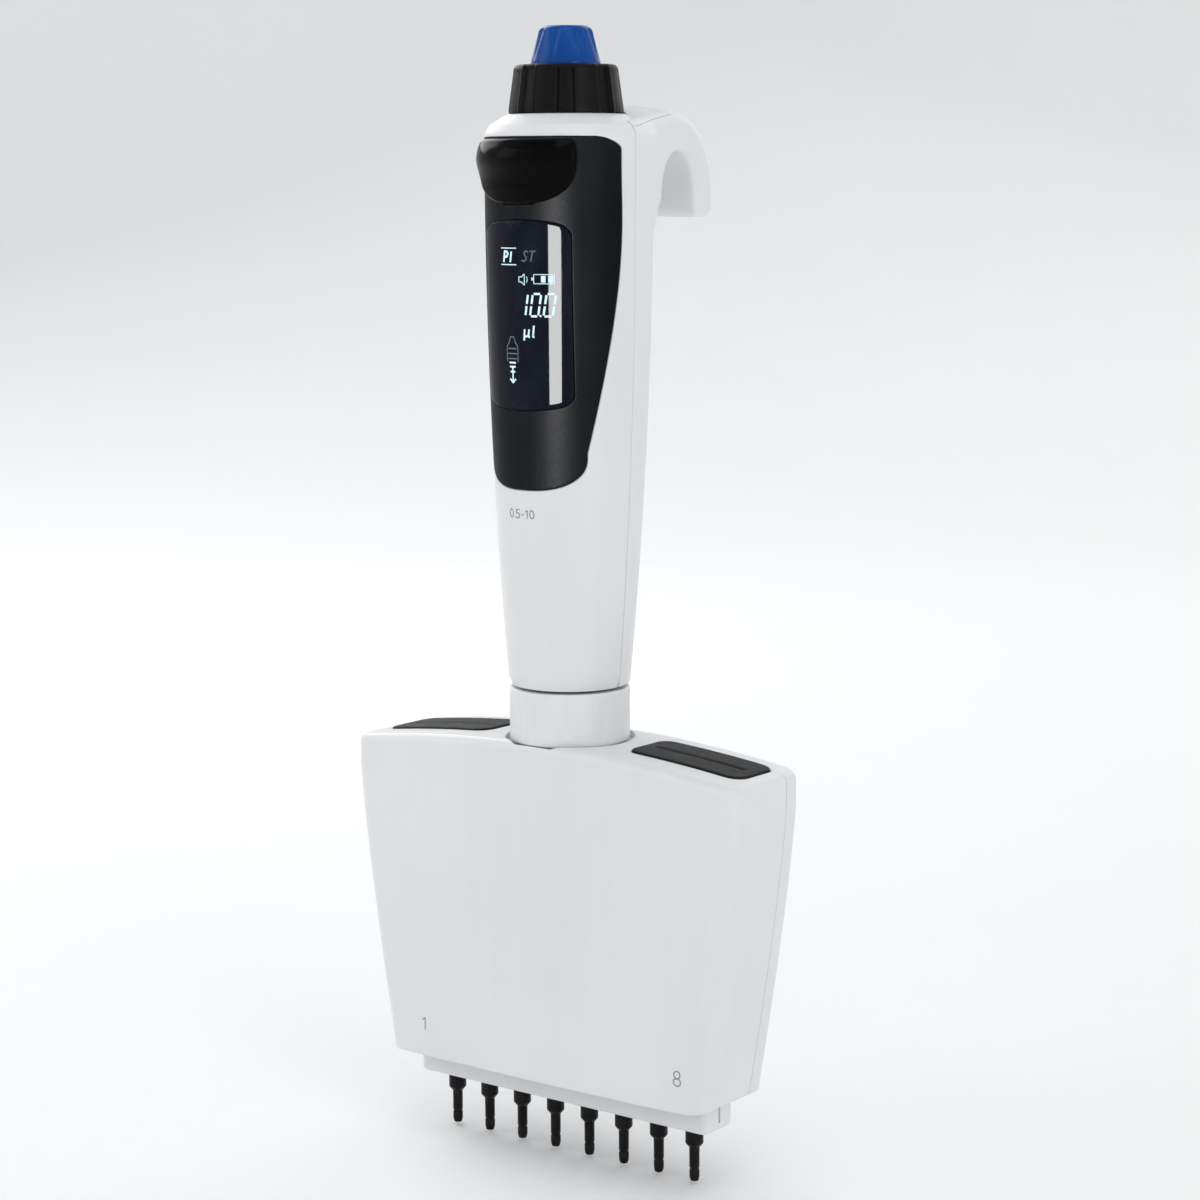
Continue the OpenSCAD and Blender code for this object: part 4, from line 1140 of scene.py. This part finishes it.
# The insert's face: flat, with a groove along its middle.
def insertLift(x, y):
    across = (y - insert["y"]) / 0.55
    along = 1 - smooth(insert["halfX"] - 3.2, insert["halfX"] - 2.2, np.abs(np.abs(x) - insert["x"]))
    return insert["proud"] - insert["groove"] * np.exp(-across ** 2) * along


# The pocket for an insert: its outline grown by the gap, with a flared mouth.
def insertCutter(side, grow):
    loop = roundedLoop(side * insert["x"], insert["y"], insert["halfX"] + grow, insert["halfY"] + grow,
                       insert["corner"] + grow, 160)
    flare = grownLoop(loop, 0.3)
    levels = [(loop * 0 + loop.mean(0), -1.6), (loop, -1.6), (loop, -0.3), (flare, 0.02), (flare, 3),
              (loop * 0 + loop.mean(0), 3)]
    rows = [onArch(at[:, 0], at[:, 1], np.full(len(at), lift)) for at, lift in levels]
    return makeMesh("insertCutter", np.array(rows), gridFaces(len(rows), len(loop), False, True))


recess = {"low": 87.6, "radius": 13.4, "front": 12.55, "bore": 11.0}


# The collar's recess: a circle whose front is kept behind a lip of the front shell.
def recessPlan(angle, radius, z):
    lip = recess["front"] / np.maximum(-np.sin(angle), 1e-3)
    return np.where(np.sin(angle) < 0, np.minimum(radius, lip), radius)


collarCut = turned("collarCut", [[0, 70], [recess["bore"], 70], [recess["bore"], recess["low"]],
                                 [recess["radius"], recess["low"]], [recess["radius"], 99], [0, 99]], 144,
                   recessPlan)
body = manifoldBody()
print("manifold body:", len(body.polygons), "faces")
body = cutMesh(body, [joinMeshes("topCuts", [collarCut, insertCutter(-1, insert["gap"]),
                                             insertCutter(1, insert["gap"])])], 40)
shellScrews = {"spots": ((-41.5, 70), (41.5, 70), (-27, 36), (27, 36)), "radius": 1.92, "depth": 11.5}
screwWells = [pinHole("screwWell", x, z, shellScrews["radius"], shellScrews["depth"], 20)
              for x, z in shellScrews["spots"]]
splitY, splitGap = manifold["splitY"], manifold["splitGap"]
frontCut = pressBox("rearSide", [-60, splitY - splitGap, 0], [60, 40, 110])
rearCut = joinMeshes("frontSide", [pressBox("frontSide", [-60, -40, 0], [60, splitY + splitGap, 110])]
                     + screwWells)
dress("frontShell", cutMesh(body.copy(), [frontCut], 40), "white_shell", "manifold", ["front_shell"])
dress("rearShell", cutMesh(body, [rearCut], 40), "white_shell", "manifold", ["rear_shell"])

for side, word in ((-1, "left"), (1, "right")):
    loop = roundedLoop(side * insert["x"], insert["y"], insert["halfX"], insert["halfY"],
                       insert["corner"], insert["points"])
    pad = plate(word + "Insert", onArch, loop, insertLift, level(-insert["under"]),
                insert["rounding"], None, insert["rows"])
    dress(word + "Insert", pad, "dark_insert", "manifold", [word + "_insert"])
print("manifold shells and inserts made")

bar = {"halfX": 37.7, "halfY": 5.0, "corner": 1.5, "low": 11.7, "high": 19.5, "rounding": 0.9, "hole": 2.05}


# The ejector bar: a rounded rectangle carried up, with its lower edge rounded and eight holes.
def ejectorBar():
    count = 420
    angle = quarter(7)
    levels = [(bar["rounding"] * (1 - np.sin(a)), bar["low"] + bar["rounding"] * (1 - np.cos(a)))
              for a in angle]
    levels += [(0, z) for z in np.linspace(bar["low"] + bar["rounding"] + 0.6, bar["high"] - 0.4, 8)]
    levels += [(0.3 * (1 - np.cos(a)), bar["high"] - 0.3 * (1 - np.sin(a)))
               for a in quarter(4)]
    loop = roundedLoop(0, 0, bar["halfX"], bar["halfY"], bar["corner"], count)
    rows = []
    for inset, z in levels:
        at = grownLoop(loop, -inset)
        rows.append(np.column_stack([at, np.full(count, z)]))
    for first in (True, False):
        edge = rows[0] if first else rows[-1]
        flat = [np.column_stack([edge[:, 0] * between(1, s2, s), edge[:, 1] * (1 - s), edge[:, 2]])
                for s, s2 in ((0.35, 0.99), (0.7, 0.98), (1.0, 0.97))]
        rows = flat[::-1] + rows if first else rows + flat
    mesh = makeMesh("ejectorBar", np.array(rows), gridFaces(len(rows), count, False, True))
    holes = [turned("barHole", [[0, 0], [bar["hole"] + 0.25, 0], [bar["hole"] + 0.25, bar["low"]],
                                [bar["hole"], bar["low"] + 0.25], [bar["hole"], 30], [0, 30]], 40, None,
                    (x, 0))
             for x in channelX]
    slit = pressBox("barSlit", [36.95, -0.3, bar["low"] + 1.6], [39, 0.3, bar["high"] - 2.4])
    return cutMesh(mesh, [joinMeshes("barCuts", holes + [slit])])


channelX = [(localBox(f"tip_cone_{i}")[0][0] + localBox(f"tip_cone_{i}")[1][0]) / 2 for i in range(1, 9)]
dress("ejectorBar", ejectorBar(), "white_shell", "stripper", ["ejector_bar"])

# One tip cone: nose, slim seat with two faint rings for the tips, step, shank and barrel.
cone = {"seat": 1.05, "shank": 1.85, "bore": 0.35, "seatTop": 7.5, "shankTop": 20.5, "barrelLow": 25,
        "barrelTop": 45, "barrel": 3.0, "cylinder": 0.64, "cylinderLow": 20.0}
coneProfile = roundedProfile([
    [cone["bore"], cone["cylinderLow"], 0], [cone["bore"], 0, 0.1], [cone["seat"] - 0.22, 0, 0.12],
    [cone["seat"] - 0.02, 0.8, 0.15], [cone["seat"], 2.2, 0], [cone["seat"] - 0.1, 2.35, 0.05],
    [cone["seat"] - 0.1, 2.75, 0.05], [cone["seat"], 2.9, 0], [cone["seat"], 5.2, 0],
    [cone["seat"] + 0.02, 7.1, 0.2], [cone["seat"] + 0.4, cone["seatTop"], 0.15],
    [cone["shank"], cone["seatTop"] + 0.5, 0.15], [cone["shank"], cone["shankTop"], 0],
    [2.45, cone["shankTop"], 0], [2.45, cone["barrelLow"], 0],
    [cone["barrel"], cone["barrelLow"], 0.1], [cone["barrel"], cone["barrelTop"], 0.2],
    [cone["cylinder"], cone["barrelTop"], 0], [cone["cylinder"], cone["cylinderLow"], 0],
    [cone["bore"], cone["cylinderLow"], 0]], 4)
for number, x in enumerate(channelX, 1):
    dress(f"tipCone{number}", turned("tipCone", coneProfile, 72, None, (x, 0)), "cone_black", "manifold",
          [f"tip_cone_{number}"])
print("ejector bar and tip cones made")


# Marks are strokes: a closed slab along a path of (x, z) points, laid on a surface.
def strokeMesh(place, path, width, top, under):
    path = np.asarray(path, float)
    closed = np.allclose(path[0], path[-1])
    travel = travelled(path)
    at = np.unique(np.concatenate([np.arange(0, travel[-1], 0.35), travel]).round(5))
    if closed:
        at = at[:-1]
    spot = spots(np.interp(at, travel, path[:, 0]), np.interp(at, travel, path[:, 1]))
    if closed:
        run = np.roll(spot, -1, 0) - np.roll(spot, 1, 0)
    else:
        run = np.gradient(spot, axis=0)
    run /= np.maximum(np.linalg.norm(run, axis=1, keepdims=True), 1e-9)
    side = spots(run[:, 1], -run[:, 0]) * width / 2
    edges = [(spot - side, under), (spot - side, top), (spot + side, top), (spot + side, under)]
    rows = np.stack([place(e[:, 0], e[:, 1], np.full(len(e), lift)) for e, lift in edges], 1)
    faces = gridFaces(len(spot), 4, closed, True).tolist()
    if not closed:
        last = 4 * len(spot) - 4
        faces += [[3, 2, 1, 0], [last, last + 1, last + 2, last + 3]]
    return makeMesh("stroke", rows, faces)


def onHandle(x, z, lift):
    return handleFront(aroundFront(x, z), z, lift)


# The manifold's front face at (x, z), raised by lift.
def onHeadFront(x, z, lift):
    y = -manifold["front"] + manifold["bow"] * (x / headHalf(z)) ** 2
    return spots(x, pressedField(np.stack([x, y, z], -1))[..., 1] - lift, z)


def oval(x, z, halfX, halfZ):
    a = np.linspace(0, 2 * np.pi, 29)
    return spots(x + halfX * np.cos(a), z + halfZ * np.sin(a))


# Strokes of each sign in a box one high, and the room that each takes.
signs = {
    "0": ([oval(0.31, 0.5, 0.26, 0.46)], 0.74),
    "1": ([[(0.10, 0.76), (0.36, 0.96), (0.36, 0.04)]], 0.66),
    "5": ([[(0.54, 0.96), (0.13, 0.96), (0.07, 0.54), (0.24, 0.62), (0.42, 0.58), (0.55, 0.44), (0.57, 0.28),
            (0.48, 0.10), (0.28, 0.03), (0.06, 0.10)]], 0.74),
    "8": ([oval(0.31, 0.73, 0.22, 0.23), oval(0.31, 0.27, 0.26, 0.23)], 0.74),
    ".": ([[(0.10, 0.02), (0.10, 0.12)]], 0.26),
    "-": ([[(0.10, 0.42), (0.44, 0.42)]], 0.58),
    "u": ([[(0.02, -0.3), (0.10, 0.66)], [(0.05, 0.1), (0.2, 0.02), (0.36, 0.08), (0.46, 0.2)],
           [(0.54, 0.66), (0.46, 0.02), (0.6, 0.0)]], 0.84),
    "l": ([[(0.16, 0.98), (0.06, 0.02), (0.2, 0.0)]], 0.3),
    "P": ([[(0.05, 0.0), (0.18, 0.95), (0.48, 0.95), (0.6, 0.75), (0.46, 0.48), (0.12, 0.46)]], 0.8),
    "I": ([[(0.1, 0.0), (0.24, 0.95)]], 0.4),
    "S": ([[(0.62, 0.84), (0.4, 0.95), (0.2, 0.8), (0.3, 0.55), (0.48, 0.4), (0.42, 0.12), (0.2, 0.02),
            (0.0, 0.12)]], 0.72),
    "T": ([[(0.05, 0.92), (0.66, 0.92)], [(0.36, 0.92), (0.22, 0.0)]], 0.7),
}


# A row of signs from x along, standing on z, as paths.
def written(text, x, z, height, slant=0.0):
    paths = []
    for sign in text:
        strokes, room = signs[sign]
        for stroke in strokes:
            p = np.asarray(stroke, float)
            paths.append(spots(x + (p[:, 0] + slant * p[:, 1]) * height, z + p[:, 1] * height))
        x += room * height
    return paths


# A seven-bar digit's lit bars, slanted, in a box at (x, z).
def barDigit(bars, x, z, width, height):
    slant, gap = 0.16, 0.22
    half = height / 2
    ends = {"a": [(0, height), (width, height)], "b": [(width, half), (width, height)],
            "c": [(width, 0), (width, half)], "d": [(0, 0), (width, 0)], "e": [(0, 0), (0, half)],
            "f": [(0, half), (0, height)], "g": [(0, half), (width, half)]}
    paths = []
    for letter in bars:
        first, last = np.array(ends[letter], float)
        run = (last - first) / np.linalg.norm(last - first)
        p = np.array([first + run * gap, last - run * gap])
        paths.append(spots(x + p[:, 0] + slant * p[:, 1], z + p[:, 1]))
    return paths


# One piece of strokes: groups of paths with a width each, from lift down by depth.
def markPiece(name, place, groups, lift, depth, slot, body, finish):
    strokes = [strokeMesh(place, path, width, lift, lift - depth) for paths, width in groups
               for path in paths]
    dress(name, joinMeshes(name, strokes), slot, body, (), finish)


screenTop = window["proud"] + 0.02
bright = [
    (written("PI", -3.85, 186.25, 2.2), 0.42),
    ([[(-4.5, 189.0), (-0.3, 189.0)], [(-4.5, 185.75), (-0.3, 185.75)]], 0.2),
    ([[(0.3, 182.4), (0.9, 182.4), (1.6, 181.8), (1.6, 184.0), (0.9, 183.4), (0.3, 183.4), (0.3, 182.4)]],
     0.16),
    ([[(2.1, 182.3), (2.3, 182.9), (2.1, 183.5)]], 0.12),
    ([[(3.7, 182.1), (7.7, 182.1), (7.7, 183.9), (3.7, 183.9), (3.7, 182.1)]], 0.14),
    ([[(3.35, 182.7), (3.35, 183.3)]], 0.3),
    ([[(6.6, 183.0), (7.5, 183.0)], [(5.2, 183.0), (6.1, 183.0)]], 1.3),
    (barDigit("bc", 0.8, 175.7, 0.9, 4.4), 0.42),
    (barDigit("abcdef", 2.75, 175.7, 1.75, 4.4), 0.42),
    (barDigit("abcdef", 5.55, 175.7, 1.75, 4.4), 0.42),
    ([[(4.98, 175.6), (5.0, 175.95)]], 0.4),
    (written("ul", 1.25, 171.6, 2.3), 0.36),
    ([[(-2.5, 163.2), (-1.75, 162.4), (-1.0, 163.2)], [(-1.75, 162.6), (-1.75, 165.6)]], 0.3),
    ([[(-2.35, 164.6), (-1.15, 164.6)], [(-2.5, 165.6), (-1.0, 165.6)], [(-2.6, 166.4), (-0.9, 166.4)]],
     0.34),
]
dim = [
    (written("ST", 1.0, 186.4, 2.2, 0.1), 0.26),
    ([[(-2.9, 167.2), (-0.6, 167.2)], [(-2.9, 168.2), (-0.6, 168.2)], [(-2.8, 169.2), (-0.7, 169.2)]], 0.24),
    ([[(-3.2, 166.6), (-3.2, 169.6), (-2.6, 170.4), (-2.2, 171.5), (-1.3, 171.5), (-0.9, 170.4),
       (-0.3, 169.6),
       (-0.3, 166.6)]], 0.2),
]
markPiece("displayBright", onHandle, bright, screenTop, 0.08, "screen", "handle", "screenBright")
markPiece("displayDim", onHandle, dim, screenTop, 0.08, "screen", "handle", "screenDim")

rangeMark = [(written("0.5-10", -4.1, 135.2, 1.8), 0.26)]
markPiece("rangeMark", onHandle, rangeMark, 0.015, 0.05, "white_shell", "handle", "printedGrey")
channelMarks = [(written("1", -30.7, 23.8, 2.8), 0.3), (written("8", 35.0, 23.75, 3.3), 0.3)]
markPiece("channelMarks", onHeadFront, channelMarks, 0.015, 0.05, "white_shell", "manifold", "printedGrey")
# The hairline of painted shadow along the hook's crease: its path in (y, z), where the side search starts,
# its width and probe step.
seam = {"path": [(1.0, 212.7), (2.5, 212.85), (9.5, 214.1), (17.5, 215.3)], "start": 15.0, "width": 0.08,
        "probe": 0.05}


# The rear housing's sides at (y, z), raised by lift: x steps by f / (df/dx) to the surface.
def onRearSide(side):
    def place(y, z, lift):
        x = np.full_like(y, seam["start"])
        for _ in range(14):
            slope = (rearDistance(x + seam["probe"], y, z)
                     - rearDistance(x - seam["probe"], y, z)) / seam["probe"] / 2
            x = x - np.clip(rearDistance(x, y, z) / np.maximum(slope, 0.3), -0.5, 0.5)
        return spots(side * (x + lift), y, z)
    return place


# A hairline of painted shadow along each side of the hook's crest: a grey stroke stands in for the shade of
# the crease where the crest meets the side.
for side, word in ((-1, "left"), (1, "right")):
    markPiece(word + "HookSeam", onRearSide(side), [([seam["path"]], seam["width"])], 0.012, 0.05,
              "white_shell", "handle", "printedGrey")
print("marks made")

# The parts that keep their CAD shape take a finish from the record's slot for them.
shown = 0
for part in frame["record"]["subparts"]:
    node = frame["nodes"][part["node"]]
    node.data.materials.clear()
    node.data.materials.append(slotFinish(part["material_slot"]))
    shown += not node.hide_render
print("CAD parts kept in view:", shown)

studio = {"floorGap": 0.0006, "floorRadius": 0.95, "bendRadius": 0.55, "wallHeight": 1.6,
          "floorTone": (0.93, 0.93, 0.93), "skyTone": (0.96, 0.98, 1.0), "skyStrength": 0.50}


# A pale floor that sweeps up all round in a quarter circle, then stands as a wall.
def studioFloor():
    a = quarter(28)
    flat, bend = studio["floorRadius"], studio["bendRadius"]
    radius = np.concatenate([np.linspace(0, flat, 12)[:-1], flat + bend * np.sin(a), [flat + bend] * 6])
    rise = np.concatenate([np.zeros(11), bend * (1 - np.cos(a)),
                           np.linspace(bend, studio["wallHeight"], 7)[1:]])
    angle = circle(160)[None, :]
    floorZ = cadLow.z - studio["floorGap"]
    points = spots(radius[:, None] * np.cos(angle), axisPlace[1] + radius[:, None] * np.sin(angle),
                       floorZ + rise[:, None] + 0 * angle)
    mesh = bpy.data.meshes.new("studioFloor")
    mesh.from_pydata(points.reshape(-1, 3).tolist(), [],
                     gridFaces(len(radius), angle.shape[1], False, True).tolist())
    mesh.shade_smooth()
    return makeObject("studioFloor", mesh)


floorFinish = Finish("studioPaper", Roughness=0.85)
fibre = floorFinish.noise(90, 3)
floorFinish.give(Base_Color=floorFinish.tone(fibre, studio["floorTone"],
                                             tuple(1.03 * c for c in studio["floorTone"])))
floorPiece = studioFloor()
floorPiece.data.materials.append(floorFinish.material)

world = bpy.data.worlds.new("studioSky")
world.use_nodes = True
sky = world.node_tree.nodes["Background"]
sky.inputs["Color"].default_value = (*studio["skyTone"], 1)
sky.inputs["Strength"].default_value = studio["skyStrength"]
bpy.context.scene.world = world
bpy.context.scene.view_settings.view_transform = "Standard"  # keeps the whites and blacks as they are

# The strip light shows in the display window and on the panel only.
stripLit = bpy.data.collections.new("stripLit")
for name in ("displayWindow", "frontPanel"):
    stripLit.objects.link(bpy.data.objects[name])

# Softboxes: azimuth from the display side towards +x and elevation in degrees, then distance,
# width and height in metres and power in watts.
softboxes = {
    "windowStrip": (15.0, -1.0, 1.0, 0.3, 0.34, 34.0),
    "sideBox": (69.0, 4.0, 1.1, 0.3, 0.9, 2.1),
    "leftBox": (-46.0, 24.0, 1.2, 0.6, 0.9, 1.8),
    "rimBox": (-110.0, 32.0, 1.1, 0.8, 0.6, 3.9),
    "topBox": (50.0, 66.0, 1.3, 0.8, 0.8, 2.7),
    "backBox": (185.0, 30.0, 1.2, 0.9, 0.9, 1.6),
}
middle = (cadLow + cadHigh) / 2
for name, (azimuth, elevation, distance, width, height, power) in softboxes.items():
    light = bpy.data.lights.new(name, "AREA")
    light.shape, light.size, light.size_y, light.energy = "RECTANGLE", width, height, power
    a, e = np.radians(azimuth), np.radians(elevation)
    aim = Vector((np.sin(a) * np.cos(e), -np.cos(a) * np.cos(e), np.sin(e)))
    lamp = bpy.data.objects.new(name, light)
    bpy.context.scene.collection.objects.link(lamp)
    lamp.location = middle + aim * distance
    lamp.rotation_euler = aim.to_track_quat("Z", "Y").to_euler()
    if name == "windowStrip":
        lamp.light_linking.receiver_collection = stripLit

camera = {"azimuth": 38.0, "distance": 0.592, "height": 0.204, "pan": -0.61, "pitch": 8.36, "roll": -0.27,
          "lens": 87.6}
cameraData = bpy.data.cameras.new("camera")
cameraData.lens = camera["lens"]
cameraData.clip_start, cameraData.clip_end = 0.05, 20
cameraObject = bpy.data.objects.new("camera", cameraData)
bpy.context.scene.collection.objects.link(cameraObject)
bearing = np.radians(camera["azimuth"])
cameraObject.location = Vector(axisPlace) + Vector((camera["distance"] * np.sin(bearing),
                                                    -camera["distance"] * np.cos(bearing), camera["height"]))
turn = (Matrix.Rotation(np.radians(camera["azimuth"] + camera["pan"]), 4, "Z")
        @ Matrix.Rotation(np.radians(90 - camera["pitch"]), 4, "X")
        @ Matrix.Rotation(np.radians(camera["roll"]), 4, "Z"))
cameraObject.rotation_euler = turn.to_euler()
bpy.context.scene.camera = cameraObject
print("studio and camera made")
